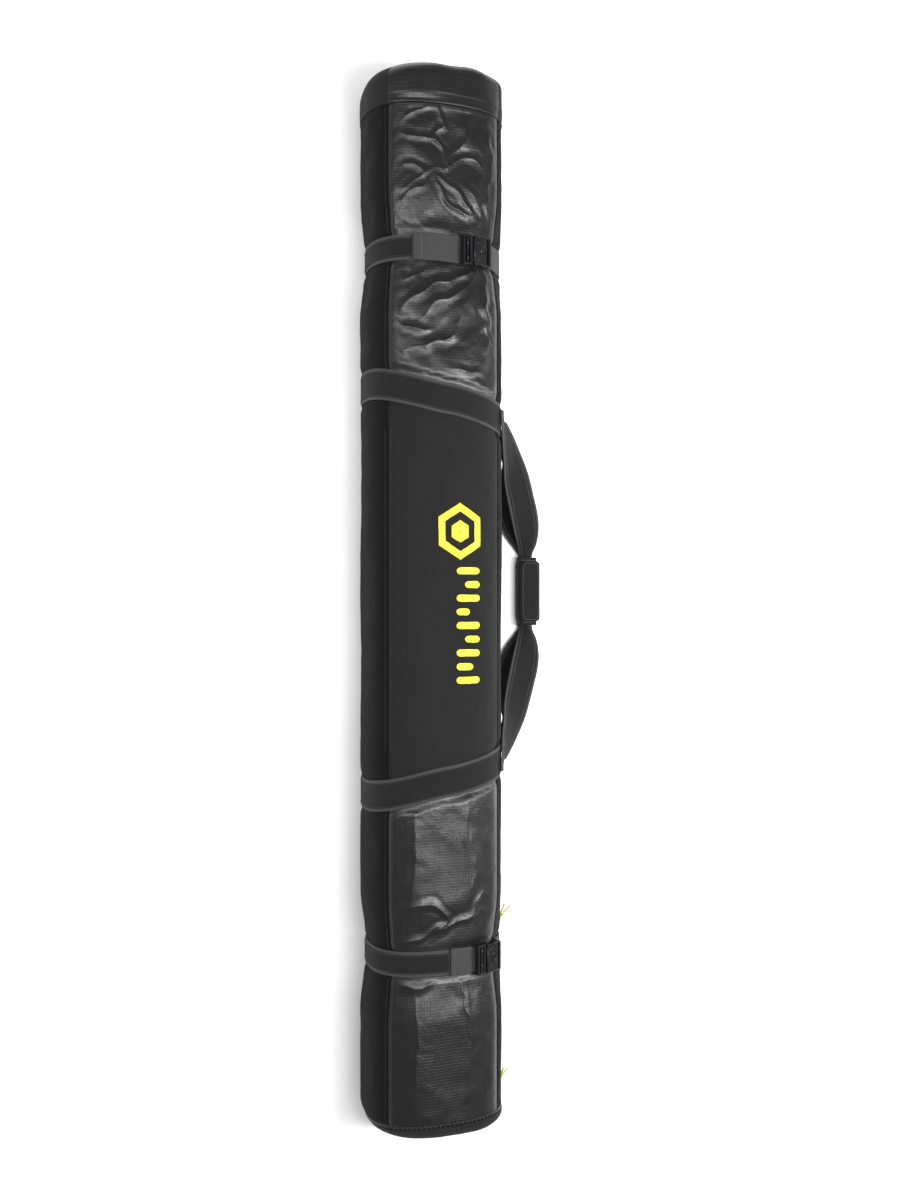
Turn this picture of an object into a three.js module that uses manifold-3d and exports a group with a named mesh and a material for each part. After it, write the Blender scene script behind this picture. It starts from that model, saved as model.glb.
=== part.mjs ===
// A padded double ski bag lying on its back panel: +Y runs to the top end, +X to the zip side
// and +Z out of the front panel. Millimetres; the origin is on the floor under the bag's middle.
import * as THREE from 'three';
import { mergeVertices } from 'three/addons/utils/BufferGeometryUtils.js';
import Module from 'manifold-3d';

const wasm = await Module();
wasm.setup();

// --- driving dimensions ---------------------------------------------------------------------
const HALF_LENGTH = 944;          // the bag is 1888 long
const HALF_WIDTH = 127;           // of the filled section, at its widest
const HALF_HEIGHT = 104;          // of the free superellipse, before the floor flattens it
const CENTRE_Z = 96;              // height of the section's centre above the floor
const SECTION_POWER = 2.5;        // superellipse exponent
const FABRIC = 2.5;               // padded fabric wall
const GAP = 0.3;                  // between solids that touch on the real bag
const WEBBING = 55;               // carry webbing width
const WEBBING_THICK = 1.8;
const FACING_THICK = 0.8;         // black facing sewn along the middle of each band
const COMPRESSION = 44;           // compression strap width
const BORDER = 5.5;               // width of webbing left bare on each side of a facing

// --- places along the bag -------------------------------------------------------------------
const TOP_FOLD_Y = 866;           // the top cap is sewn on here
const UPPER_STRAP_Y = 616;
const LOWER_STRAP_Y = -635;
const HANDLE_MIDDLE = 18;         // the middle of the grip and of the two carry bands
const CARRY_Y = 335;              // each carry band crosses the front this far from there
const CARRY_SLANT = 30;           // each band leans this far towards the grip at the zip side
const SEAM_ANGLE = 40;            // the four long seams, measured from +X and -X
const WAIST = 7;                  // how far a compression strap pulls the section in
const WAIST_REACH = 110;
const RIM_FRONT = 26;             // depth of the base flap's rim at the front
const RIM_BACK = 5;               // and at the floor, where it is hinged

const group = new THREE.Group();
const COLOURS = {
  tarpaulin: { color: 0x2c2d30, roughness: 0.35, metalness: 0 },
  polyester: { color: 0x1d1d1f, roughness: 0.85, metalness: 0 },
  webbing: { color: 0x52524f, roughness: 0.8, metalness: 0 },
  facing: { color: 0x1a1a1b, roughness: 0.8, metalness: 0 },
  plastic: { color: 0x1b1b1d, roughness: 0.45, metalness: 0 },
  zip: { color: 0x202022, roughness: 0.5, metalness: 0 },
  metal: { color: 0x3a3b3d, roughness: 0.4, metalness: 0.9 },
  cord: { color: 0xcfe23a, roughness: 0.7, metalness: 0 },
};
const MATERIALS = Object.fromEntries(
  Object.entries(COLOURS).map(([key, look]) => [key, new THREE.MeshStandardMaterial(look)]),
);

function add(name, geometry, look, parent = group) {
  const mesh = new THREE.Mesh(geometry, MATERIALS[look]);
  mesh.name = name;
  parent.add(mesh);
  return mesh;
}

// --- the bag's surface ----------------------------------------------------------------------
const radians = THREE.MathUtils.degToRad;
const signedPower = (value, power) => Math.sign(value) * Math.abs(value) ** power;

function smooth(edge0, edge1, value) {
  return THREE.MathUtils.smoothstep(value, Math.min(edge0, edge1), Math.max(edge0, edge1));
}

// 1 on the strap itself, falling smoothly to 0 over the reach beyond it
function plateau(distance, flat, reach) {
  return 1 - smooth(flat, reach, Math.abs(distance));
}

const STRAP_FLAT = COMPRESSION / 2 + 3;
const CARRY_FLAT = WEBBING / 2 + 3;
const RECESS_RAMP = 10;
const RECESS = WEBBING_THICK + FACING_THICK + 2 * GAP;

// the straps pull the section in, all but the zip line, which stays straight for its slider
function waist(y, angle) {
  const fromZip = Math.abs(THREE.MathUtils.euclideanModulo(angle + 180, 360) - 180);
  const upper = plateau(y - UPPER_STRAP_Y, STRAP_FLAT, WAIST_REACH);
  const lower = plateau(y - LOWER_STRAP_Y, STRAP_FLAT, WAIST_REACH);
  return WAIST * (upper + lower) * smooth(8, 30, fromZip);
}

// side is +1 for the band near the top end and -1 for the one near the base
function carryY(side, angle) {
  return HANDLE_MIDDLE + side * (CARRY_Y - CARRY_SLANT * Math.cos(radians(angle)));
}

// how far the panels dip so that straps and bands lie flush with the skin
function recess(y, angle) {
  const strap = (centre) => plateau(y - centre, STRAP_FLAT, STRAP_FLAT + RECESS_RAMP);
  const band = (side) => plateau(y - carryY(side, angle), CARRY_FLAT, CARRY_FLAT + RECESS_RAMP);
  return RECESS * (strap(UPPER_STRAP_Y) + strap(LOWER_STRAP_Y) + band(1) + band(-1));
}

// the section is pulled in round the ends, more at the -X side of the top
function endRounding(y, angle) {
  const radius = 16 + 12 * (1 - Math.cos(radians(angle)));
  const past = Math.abs(y) - (HALF_LENGTH - radius);
  if (past <= 0) return 0;
  return radius - Math.sqrt(Math.max(0, radius ** 2 - past ** 2));
}

// a point on the bag: depth is how far it lies inside the outermost skin
function surface(y, angle, depth) {
  const inset = depth + waist(y, angle) + endRounding(y, angle);
  const c = Math.cos(radians(angle));
  const s = Math.sin(radians(angle));
  const x = (HALF_WIDTH - inset) * signedPower(c, 2 / SECTION_POWER);
  const z = CENTRE_Z + (HALF_HEIGHT - inset) * signedPower(s, 2 / SECTION_POWER);
  return new THREE.Vector3(x, y, Math.max(z, depth));
}

// the angle whose point stands this far above the section's centre, on the +X side
function angleAtHeight(height) {
  const share = Math.abs(height) / HALF_HEIGHT;
  return Math.sign(height) * THREE.MathUtils.radToDeg(Math.asin(share ** (SECTION_POWER / 2)));
}

// the angle on the front whose point lies at this x, at a compression strap's waist
function angleAtX(x) {
  const share = Math.abs(x) / (HALF_WIDTH - WAIST - RECESS);
  const angle = THREE.MathUtils.radToDeg(Math.acos(share ** (SECTION_POWER / 2)));
  return x < 0 ? 180 - angle : angle;
}

// every patch uses the same angles, so that layers on each other have parallel facets
const TAPE_EDGE = 15;             // from the zip line to the gusset's folded edge
const CHAIN_HALF = 3;
const tapeAngle = angleAtHeight(TAPE_EDGE);
const chainAngle = angleAtHeight(CHAIN_HALF);
const ANGLE_STEP = 10;
const zipAngles = [-tapeAngle, -chainAngle, chainAngle, tapeAngle];
const stepAngles = Array.from({ length: 55 }, (_, k) => (k - 9) * ANGLE_STEP);
const GRID_ANGLES = [...stepAngles, ...zipAngles, ...zipAngles.map((a) => a + 360)]
  .sort((a, b) => a - b);
function anglesBetween(from, to) {
  const least = 0.6;
  return [from, ...GRID_ANGLES.filter((a) => a > from + least && a < to - least), to];
}

// --- closed meshes --------------------------------------------------------------------------
function geometryFrom(points, triangles) {
  const geometry = new THREE.BufferGeometry();
  const flat = points.flatMap((p) => [p.x, p.y, p.z]);
  geometry.setAttribute('position', new THREE.Float32BufferAttribute(flat, 3));
  geometry.setIndex(triangles.flat());
  return geometry;
}

// a curved slab: place(row, column, layer) gives its points, layer 1 being the outer face
function slab(rows, columns, place) {
  const points = [];
  const index = (r, c, layer) => (layer * rows + r) * columns + c;
  for (let layer = 0; layer < 2; layer += 1) {
    for (let r = 0; r < rows; r += 1) {
      for (let c = 0; c < columns; c += 1) points.push(place(r, c, layer));
    }
  }
  const triangles = [];
  const quad = (a, b, c, d) => triangles.push([a, b, c], [a, c, d]);
  for (let r = 0; r + 1 < rows; r += 1) {
    for (let c = 0; c + 1 < columns; c += 1) {
      quad(index(r, c, 1), index(r, c + 1, 1), index(r + 1, c + 1, 1), index(r + 1, c, 1));
      quad(index(r, c, 0), index(r + 1, c, 0), index(r + 1, c + 1, 0), index(r, c + 1, 0));
    }
    quad(index(r, 0, 0), index(r, 0, 1), index(r + 1, 0, 1), index(r + 1, 0, 0));
    const last = columns - 1;
    quad(index(r, last, 0), index(r + 1, last, 0), index(r + 1, last, 1), index(r, last, 1));
  }
  for (let c = 0; c + 1 < columns; c += 1) {
    quad(index(0, c, 0), index(0, c + 1, 0), index(0, c + 1, 1), index(0, c, 1));
    const last = rows - 1;
    quad(index(last, c, 0), index(last, c, 1), index(last, c + 1, 1), index(last, c + 1, 0));
  }
  return outward(geometryFrom(points, triangles));
}

// rings of points from one pole to another make a closed cap
function cap(firstPole, rings, lastPole) {
  const count = rings[0].length;
  const points = [firstPole, ...rings.flat(), lastPole];
  const index = (ring, i) => 1 + ring * count + (i % count);
  const triangles = [];
  for (let i = 0; i < count; i += 1) {
    triangles.push([0, index(0, i), index(0, i + 1)]);
    triangles.push([points.length - 1, index(rings.length - 1, i + 1), index(rings.length - 1, i)]);
    for (let ring = 0; ring + 1 < rings.length; ring += 1) {
      triangles.push([index(ring, i), index(ring + 1, i), index(ring + 1, i + 1)]);
      triangles.push([index(ring, i), index(ring + 1, i + 1), index(ring, i + 1)]);
    }
  }
  return outward(geometryFrom(points, triangles));
}

// turns the faces round if the enclosed volume comes out negative
function outward(geometry) {
  const position = geometry.attributes.position;
  const index = geometry.index;
  const corner = (i) => new THREE.Vector3().fromBufferAttribute(position, index.getX(i));
  let volume = 0;
  for (let i = 0; i < index.count; i += 3) {
    volume += corner(i).dot(corner(i + 1).cross(corner(i + 2)));
  }
  if (volume < 0) {
    const turned = [];
    for (let i = 0; i < index.count; i += 3) {
      turned.push(index.getX(i), index.getX(i + 2), index.getX(i + 1));
    }
    geometry.setIndex(turned);
  }
  return geometry;
}

// --- solids cut with manifold ---------------------------------------------------------------
function solid(geometry) {
  const bare = geometry.clone();
  bare.deleteAttribute('normal');
  bare.deleteAttribute('uv');
  const merged = mergeVertices(bare, 1e-4);
  return new wasm.Manifold(new wasm.Mesh({
    numProp: 3,
    vertProperties: Float32Array.from(merged.attributes.position.array),
    triVerts: Uint32Array.from(merged.index.array),
  }));
}

function geometryOf(manifold) {
  const mesh = manifold.getMesh();
  const geometry = new THREE.BufferGeometry();
  geometry.setAttribute('position', new THREE.Float32BufferAttribute(mesh.vertProperties, 3));
  geometry.setIndex(Array.from(mesh.triVerts));
  return geometry;
}

function box(x0, x1, y0, y1, z0, z1) {
  const geometry = new THREE.BoxGeometry(x1 - x0, y1 - y0, z1 - z0);
  return geometry.translate((x0 + x1) / 2, (y0 + y1) / 2, (z0 + z1) / 2);
}

const ARC_SEGMENTS = 3;

function roundedRectangle(x0, x1, y0, y1, radius) {
  const shape = new THREE.Shape();
  shape.moveTo(x0 + radius, y0);
  shape.absarc(x1 - radius, y0 + radius, radius, -Math.PI / 2, 0);
  shape.absarc(x1 - radius, y1 - radius, radius, 0, Math.PI / 2);
  shape.absarc(x0 + radius, y1 - radius, radius, Math.PI / 2, Math.PI);
  shape.absarc(x0 + radius, y0 + radius, radius, Math.PI, 1.5 * Math.PI);
  return shape;
}

function plate(shape, z0, z1) {
  const options = { depth: z1 - z0, bevelEnabled: false, curveSegments: ARC_SEGMENTS };
  return new THREE.ExtrudeGeometry(shape, options).translate(0, 0, z0);
}

// --- panels ---------------------------------------------------------------------------------
const yOf = (row, angle) => (typeof row === 'function' ? row(angle) : row);

function panel(name, look, from, to, rows, outerDepth = 0, innerDepth = FABRIC) {
  const angles = anglesBetween(from, to);
  add(name, slab(rows.length, angles.length, (r, c, layer) => {
    const y = yOf(rows[r], angles[c]);
    const depth = layer ? outerDepth : innerDepth;
    return surface(y, angles[c], depth + recess(y, angles[c]));
  }), look);
}

// rows of a panel where it passes under a compression strap
function strapRows(centre) {
  const offsets = [STRAP_FLAT, STRAP_FLAT + RECESS_RAMP, WAIST_REACH];
  return [...offsets.map((o) => centre - o).reverse(), ...offsets.map((o) => centre + o)];
}

// rows beside a carry band, going away from its middle line in the given direction
function carryRows(side, direction) {
  const offsets = [GAP / 2, CARRY_FLAT, CARRY_FLAT + RECESS_RAMP];
  return offsets.map((o) => (angle) => carryY(side, angle) + direction * o);
}

const ZIP_LINE = 6;               // width of the base zip's chain
function rimDepth(angle) {
  const height = surface(0, angle, 0).z;
  return RIM_BACK + (RIM_FRONT - RIM_BACK) * (height / (CENTRE_Z + HALF_HEIGHT));
}
const flapEdge = (angle) => -HALF_LENGTH + rimDepth(angle);
const wallEdge = (angle) => flapEdge(angle) + ZIP_LINE + 2 * GAP;

const BASE_ROWS = [wallEdge, -907, -879];   // the base end's rounding starts between these
const TOP_ROWS = [800, TOP_FOLD_Y - GAP];
const LOWER_ROWS = [...BASE_ROWS, ...strapRows(LOWER_STRAP_Y), ...carryRows(-1, -1).reverse()];
const MIDDLE_ROWS = [...carryRows(-1, 1), 0, ...carryRows(1, -1).reverse()];
const UPPER_ROWS = [...carryRows(1, 1), ...strapRows(UPPER_STRAP_Y), ...TOP_ROWS];
const BETWEEN_BANDS = [CARRY_FLAT, CARRY_FLAT + RECESS_RAMP];
const bandCrossing = (side) => [...BETWEEN_BANDS.map((o) => -o).reverse(), ...BETWEEN_BANDS]
  .map((o) => (angle) => carryY(side, angle) + o);
const WHOLE_ROWS = [
  ...BASE_ROWS, ...strapRows(LOWER_STRAP_Y), ...bandCrossing(-1), 0,
  ...bandCrossing(1), ...strapRows(UPPER_STRAP_Y), ...TOP_ROWS,
];

const SEAM_GAP = 0.2;             // degrees left at each side of a long seam
const FRONT = [SEAM_ANGLE + SEAM_GAP, 180 - SEAM_ANGLE - SEAM_GAP];
const BOTTOM = [180 - SEAM_ANGLE + SEAM_GAP, 180 + SEAM_ANGLE - SEAM_GAP];
const BACK = [180 + SEAM_ANGLE + SEAM_GAP, 360 - SEAM_ANGLE - SEAM_GAP];

for (const [side, range] of [['front', FRONT], ['back', BACK]]) {
  panel(`${side}_panel_lower`, 'tarpaulin', ...range, LOWER_ROWS);
  panel(`${side}_panel_middle`, 'polyester', ...range, MIDDLE_ROWS);
  panel(`${side}_panel_upper`, 'tarpaulin', ...range, UPPER_ROWS);
}
panel('bottom_gusset', 'polyester', ...BOTTOM, WHOLE_ROWS);

// the zip side: a gusset strip, a zip tape and half of the chain on each side of the zip line
const tapeInner = angleAtHeight(TAPE_EDGE - GAP);
const chainEdge = angleAtHeight(CHAIN_HALF + GAP);
const TAPE_DEPTH = 0.8;
panel('zip_gusset_front', 'polyester', tapeAngle, SEAM_ANGLE - SEAM_GAP, WHOLE_ROWS);
panel('zip_gusset_back', 'polyester', -SEAM_ANGLE + SEAM_GAP, -tapeAngle, WHOLE_ROWS);
panel('zip_tape_front', 'zip', chainEdge, tapeInner, WHOLE_ROWS, TAPE_DEPTH, FABRIC);
panel('zip_tape_back', 'zip', -tapeInner, -chainEdge, WHOLE_ROWS, TAPE_DEPTH, FABRIC);
panel('zip_chain', 'zip', -chainAngle, chainAngle, WHOLE_ROWS, 0.2, FABRIC);

// bindings sewn over the raw edges inside the four long seams
const BINDING_HALF_ANGLE = 5;
const BINDING_CLEAR = 2;          // the binding bridges the fold of the seam
const BINDING_ROWS = [...WHOLE_ROWS.slice(2, -1), TOP_FOLD_Y - 12];
[['front_zip', SEAM_ANGLE], ['front', 180 - SEAM_ANGLE],
  ['back', 180 + SEAM_ANGLE], ['back_zip', 360 - SEAM_ANGLE]].forEach(([place, angle]) => {
  const from = angle - BINDING_HALF_ANGLE;
  panel(`seam_binding_${place}`, 'facing', from, angle + BINDING_HALF_ANGLE, BINDING_ROWS,
    FABRIC + BINDING_CLEAR, FABRIC + BINDING_CLEAR + 1.2);
});

// --- the two ends ---------------------------------------------------------------------------
const ROUND = anglesBetween(0, 360).slice(0, -1);
const ring = (yAt, depth) => ROUND.map((a) => surface(yOf(yAt, a), a, depth));
const shrunk = (y, share) => ROUND.map((a) => {
  const p = surface(y, a, FABRIC);
  return new THREE.Vector3(p.x * share, y, CENTRE_Z + (p.z - CENTRE_Z) * share);
});
const axisPoint = (y) => new THREE.Vector3(0, y, CENTRE_Z);

// an end cap: its rim runs from the given edge to the end plane, where it is rounded over
function endCap(name, look, edge, direction) {
  const end = direction * HALF_LENGTH;
  const corner = (back) => end - direction * back;
  const outer = [ring(edge, 0), ring(corner(6), 0), ring(corner(1.5), 0), ring(end, 0)];
  const inner = [
    shrunk(corner(FABRIC), 0.9), ring(corner(FABRIC), FABRIC), ring(edge, FABRIC),
  ];
  const rings = [...outer.reverse(), ...inner.reverse()];
  add(name, cap(axisPoint(end), rings, axisPoint(corner(FABRIC))), look);
}
endCap('top_end_panel', 'polyester', TOP_FOLD_Y, 1);
endCap('base_flap_panel', 'tarpaulin', flapEdge, -1);

// the base zip runs round three sides and stops either side of the hinge at the floor
const BASE_ZIP = [-68, 248];
const baseZipRows = [(a) => flapEdge(a) + GAP, (a) => flapEdge(a) + GAP + ZIP_LINE];
panel('base_zip_chain', 'zip', ...BASE_ZIP, baseZipRows, 0.4, FABRIC);

// --- webbing bands --------------------------------------------------------------------------
// a strip of webbing lying in the panels' recess, with a narrower facing sewn along it
function bandOn(name, look, from, to, centre, width, outerDepth, thickness) {
  const rows = [-width / 2, width / 2].map((o) => (angle) => yOf(centre, angle) + o);
  const angles = anglesBetween(from, to);
  add(name, slab(2, angles.length, (r, c, layer) => {
    const depth = outerDepth + (layer ? 0 : thickness);
    const place = surface(yOf(centre, angles[c]), angles[c], depth);
    return place.setY(rows[r](angles[c]));
  }), look);
}

const FACING_DEPTH = 0;
const BAND_DEPTH = FACING_THICK + GAP;
const ROOT_ANGLE = angleAtHeight(22);      // where the carry bands leave the bag
for (const [place, side] of [['upper', 1], ['lower', -1]]) {
  const centre = (angle) => carryY(side, angle);
  const ends = [SEAM_ANGLE - 2, 360 - SEAM_ANGLE + 2];
  bandOn(`${place}_carry_band`, 'webbing', ...ends, centre, WEBBING, BAND_DEPTH, WEBBING_THICK);
  bandOn(`${place}_carry_band_facing`, 'facing', ...ends, centre, WEBBING - 2 * BORDER,
    FACING_DEPTH, FACING_THICK);
  bandOn(`front_handle_${place}_root`, 'webbing', ROOT_ANGLE, SEAM_ANGLE - 2.4, centre, WEBBING,
    BAND_DEPTH, WEBBING_THICK);
  bandOn(`back_handle_${place}_root`, 'webbing', -SEAM_ANGLE + 2.4, -ROOT_ANGLE, centre, WEBBING,
    BAND_DEPTH, WEBBING_THICK);
}

// --- compression straps ---------------------------------------------------------------------
const BUCKLE_THICK = 12;
const BUCKLE_WIDTH = 54;
const MALE_X = [-28, -9];         // the adjuster frame, from the buckle's middle
const FEMALE_X = [-7.5, 28];
const CAVITY_HALF = 22;
const CAVITY_END = 17;
const PRONG_ROOT_Y = 16;
const PRONG_X = [-8.6, 14];
const BUCKLE_LIFT = 0.6;          // clear of the facing below it

function femaleHalf() {
  const outline = new THREE.Shape();
  const half = BUCKLE_WIDTH / 2;
  const notch = 3.4;
  outline.moveTo(FEMALE_X[0] + 2, -half + 3);
  outline.lineTo(-3, -half + 0.5);
  outline.quadraticCurveTo(4, -half + 2 * notch, 13, -half + 0.5);
  outline.lineTo(FEMALE_X[1] - 5, -half);
  outline.quadraticCurveTo(FEMALE_X[1], -half, FEMALE_X[1], -half + 5);
  outline.lineTo(FEMALE_X[1], half - 5);
  outline.quadraticCurveTo(FEMALE_X[1], half, FEMALE_X[1] - 5, half);
  outline.lineTo(13, half - 0.5);
  outline.quadraticCurveTo(4, half - 2 * notch, -3, half - 0.5);
  outline.lineTo(FEMALE_X[0] + 2, half - 3);
  outline.lineTo(FEMALE_X[0], half - 8);
  outline.lineTo(FEMALE_X[0], -half + 8);
  outline.closePath();
  const body = solid(plate(outline, 0, BUCKLE_THICK));
  const cavity = solid(box(FEMALE_X[0] - 1, CAVITY_END, -CAVITY_HALF, CAVITY_HALF, 2, 10));
  const windows = solid(box(-1, 11, -half, half, 2.5, 9.5));
  const slot = solid(box(20, 23.5, -COMPRESSION / 2 - 1, COMPRESSION / 2 + 1, -1, 13));
  return geometryOf(body.subtract(cavity).subtract(windows).subtract(slot));
}

function maleHalf() {
  const half = BUCKLE_WIDTH / 2;
  const frame = plate(roundedRectangle(...MALE_X, -half + 1, half - 1, 3), 1.5, 10.5);
  const tongue = box(MALE_X[1] - 1, 12, -4, 4, 4, 8);
  let male = solid(frame).add(solid(tongue));
  for (const x of [MALE_X[0] + 3.5, MALE_X[0] + 10.5]) {
    male = male.subtract(solid(box(x, x + 3.5, -half + 4.5, half - 4.5, 0, 12)));
  }
  return geometryOf(male);
}

// the two prongs are mirror images; side is +1 for the one nearer the top end
function prong(side) {
  const outline = new THREE.Shape();
  outline.moveTo(PRONG_X[0], side * (PRONG_ROOT_Y - 2.5));
  outline.lineTo(PRONG_X[0], side * (PRONG_ROOT_Y + 2.5));
  outline.lineTo(0, side * (PRONG_ROOT_Y + 3));
  outline.quadraticCurveTo(5, side * (CAVITY_HALF - 0.1), 10, side * (CAVITY_HALF - 1));
  outline.lineTo(PRONG_X[1], side * (PRONG_ROOT_Y + 1));
  outline.lineTo(PRONG_X[1] - 2, side * (PRONG_ROOT_Y - 1.5));
  outline.closePath();
  return outward(indexed(plate(outline, 3, 9)));
}

function indexed(geometry) {
  const bare = geometry.clone();
  bare.deleteAttribute('normal');
  bare.deleteAttribute('uv');
  return mergeVertices(bare, 1e-4);
}

// the slope of the front at this x, as a turn about +Y
function slopeAt(x) {
  const step = 1;
  const a = surface(UPPER_STRAP_Y, angleAtX(x - step), 0);
  const b = surface(UPPER_STRAP_Y, angleAtX(x + step), 0);
  return -Math.atan2(b.z - a.z, b.x - a.x);
}

function compressionStrap(place, y, buckleX, tailX) {
  const bandEnd = angleAtX(buckleX - 14);
  const stubEnd = angleAtX(buckleX + 20);
  const split = 300;              // the sewn band and the loose stub meet on the back
  bandOn(`${place}_strap_band`, 'webbing', bandEnd, split, y, COMPRESSION, BAND_DEPTH,
    WEBBING_THICK);
  bandOn(`${place}_strap_facing`, 'facing', angleAtX(tailX[0] - 3), split - 2, y,
    COMPRESSION - 2 * BORDER, FACING_DEPTH, FACING_THICK);
  bandOn(`${place}_strap_stub`, 'webbing', split - 360 + 0.3, stubEnd, y, COMPRESSION,
    BAND_DEPTH, WEBBING_THICK);
  bandOn(`${place}_strap_tail`, 'webbing', angleAtX(tailX[1]), angleAtX(tailX[0]), y,
    COMPRESSION + 4, -WEBBING_THICK - 0.6, WEBBING_THICK);

  const buckle = new THREE.Group();
  const seat = surface(y, angleAtX(buckleX), 0);
  buckle.position.copy(seat);
  buckle.rotation.y = slopeAt(buckleX);
  group.add(buckle);
  const lifted = new THREE.Group();
  lifted.position.z = BUCKLE_LIFT;
  buckle.add(lifted);
  add(`${place}_buckle_female`, femaleHalf(), 'plastic', lifted);
  add(`${place}_buckle_male`, maleHalf(), 'plastic', lifted);
  add(`${place}_prong_top`, prong(1), 'plastic', lifted);
  add(`${place}_prong_base`, prong(-1), 'plastic', lifted);
}
compressionStrap('upper', UPPER_STRAP_Y, 48, [-60, 18]);
compressionStrap('lower', LOWER_STRAP_Y, 72, [4, 42]);

// --- the carry handle -----------------------------------------------------------------------
const HINGE_X = 138;
const HINGE_Z = CENTRE_Z + 16;
const GRIP_Y = [HANDLE_MIDDLE - 66, HANDLE_MIDDLE + 66];
const GRIP_X = 222;
const GRIP_Z = 18;
const LOOP_THICK = 3;

// a strip of webbing along a smooth path; each station gives its place, width and tilt
function strip(name, stations, steps) {
  const path = new THREE.CatmullRomCurve3(stations.map((s) => s.at), false, 'centripetal');
  const share = (u, key) => {
    const along = u * (stations.length - 1);
    const k = Math.min(Math.floor(along), stations.length - 2);
    return THREE.MathUtils.lerp(stations[k][key], stations[k + 1][key], along - k);
  };
  add(name, slab(steps + 1, 3, (r, c, layer) => {
    const u = r / steps;
    const tangent = path.getTangent(u);
    const tilt = share(u, 'tilt');
    const up = new THREE.Vector3(Math.sin(tilt), 0, Math.cos(tilt));
    const across = new THREE.Vector3().crossVectors(tangent, up).normalize();
    const normal = new THREE.Vector3().crossVectors(across, tangent).normalize();
    const offset = (layer - 0.5) * LOOP_THICK;
    return path.getPoint(u)
      .addScaledVector(across, (c - 1) * share(u, 'width') / 2)
      .addScaledVector(normal, offset);
  }), 'webbing');
}

// one half of a loop, from the bag's side to the middle of the grip; side +1 is the top half
function loopHalf(name, side, route, gripZ) {
  const mirror = (y) => HANDLE_MIDDLE + side * (y - HANDLE_MIDDLE);
  const inGrip = HANDLE_MIDDLE + GAP;
  const stations = [...route, [GRIP_X, 86, gripZ, 24, 0], [GRIP_X, inGrip, gripZ, 24, 0]];
  strip(name, stations.map(([x, y, z, width, tilt]) => (
    { at: new THREE.Vector3(x, mirror(y), z), width, tilt: radians(tilt) })), 20);
}
// x, y, z, width and the tilt of the face towards +X, in degrees
const FRONT_ROUTE = [
  [HINGE_X + 3, 321, HINGE_Z - 3, 36, 40], [150, 305, 101, 44, 25], [159, 278, 92, 50, 12],
  [171, 240, 78, 52, 0], [193, 195, 56, 54, 0], [212, 150, 36, 54, 0], [221, 112, 25, 34, 0],
];
const BACK_ROUTE = [
  [HINGE_X + 2, 321, 80, 36, 45], [148, 305, 68, 40, 30], [158, 276, 50, 42, 15],
  [168, 234, 32, 40, 0], [178, 190, 18, 38, 0], [192, 145, 12, 36, 0], [214, 110, 12, 26, 0],
];
for (const [place, side] of [['upper', 1], ['lower', -1]]) {
  loopHalf(`front_handle_loop_${place}`, side, FRONT_ROUTE, GRIP_Z + 3);
  loopHalf(`back_handle_loop_${place}`, side, BACK_ROUTE, GRIP_Z - 3);
}

const GRIP_HALF_WIDTH = 21;
const GRIP_HALF_THICK = 13;
const GRIP_WALL = 5;
function gripTube() {
  const around = (half, thick, radius) => roundedRectangle(-half, half, -thick, thick, radius);
  const outer = plate(around(GRIP_HALF_WIDTH, GRIP_HALF_THICK, 8), ...GRIP_Y);
  const wide = GRIP_HALF_WIDTH - GRIP_WALL;
  const inner = plate(around(wide, GRIP_HALF_THICK - GRIP_WALL, 4), GRIP_Y[0] - 1, GRIP_Y[1] + 1);
  const turned = (geometry) => geometry.rotateX(Math.PI / 2).scale(1, -1, 1);
  return [outer, inner].map((g) => solid(outward(indexed(turned(g)))));
}
const [gripOuter, gripInner] = gripTube();
add('grip_wrap', geometryOf(gripOuter.subtract(gripInner)), 'polyester')
  .position.set(GRIP_X, 0, GRIP_Z);
const flapShape = roundedRectangle(-GRIP_HALF_WIDTH + 4, GRIP_HALF_WIDTH + 1, GRIP_Y[0] + 7,
  GRIP_Y[1] - 7, 7);
add('grip_flap', outward(indexed(plate(flapShape, 0, 2.5))), 'polyester')
  .position.set(GRIP_X, 0, GRIP_Z + GRIP_HALF_THICK + GAP);

// --- zip sliders ----------------------------------------------------------------------------
const SLIDER_LENGTH = 17;
const SLIDER_HALF = 7;
const SLIDER_LIFT = 0.8;
const PULL_LENGTH = 13;
const CORD_RADIUS = 1.5;
const MAIN_SLIDER_Y = -607;       // just above the lower compression strap
const BASE_SLIDER_Y = -909;       // at the corner of the base flap

// a slider on the side zip, its pull tab on a bail, and the cord knotted through the tab
function slider(name, y, spread) {
  const x = HALF_WIDTH + SLIDER_LIFT;
  const body = roundedRectangle(-SLIDER_HALF, SLIDER_HALF, 0, SLIDER_LENGTH, 3);
  const upright = (geometry) => outward(indexed(geometry.rotateY(Math.PI / 2)));
  add(`${name}_slider`, upright(plate(body, 0, 6)), 'metal').position.set(x, y, CENTRE_Z);
  const tab = roundedRectangle(-4, 4, 0, PULL_LENGTH, 2.5);
  add(`${name}_pull`, upright(plate(tab, 0, 1.6)), 'metal').position
    .set(x + 6 + GAP, y + SLIDER_LENGTH / 2, CENTRE_Z);
  const knot = new THREE.Vector3(x + 11, y + 18, CENTRE_Z - 3);
  const tail = (dx, dy, dz) => new THREE.Vector3(dx, dy, dz).multiplyScalar(spread).add(knot);
  const route = new THREE.CatmullRomCurve3([
    tail(7, 20, 1), tail(3, 10, -1), tail(0, 1.5, -3), tail(2.5, -2, -0.5),
    tail(6, 2.5, -4), tail(14, 7.5, -7), tail(22, 12, -11),
  ]);
  const section = new THREE.Shape();
  section.absarc(0, 0, CORD_RADIUS, 0, 2 * Math.PI);
  const options = { steps: 16, curveSegments: 8, extrudePath: route };
  add(`${name}_cord`, outward(indexed(new THREE.ExtrudeGeometry(section, options))), 'cord');
}
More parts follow.
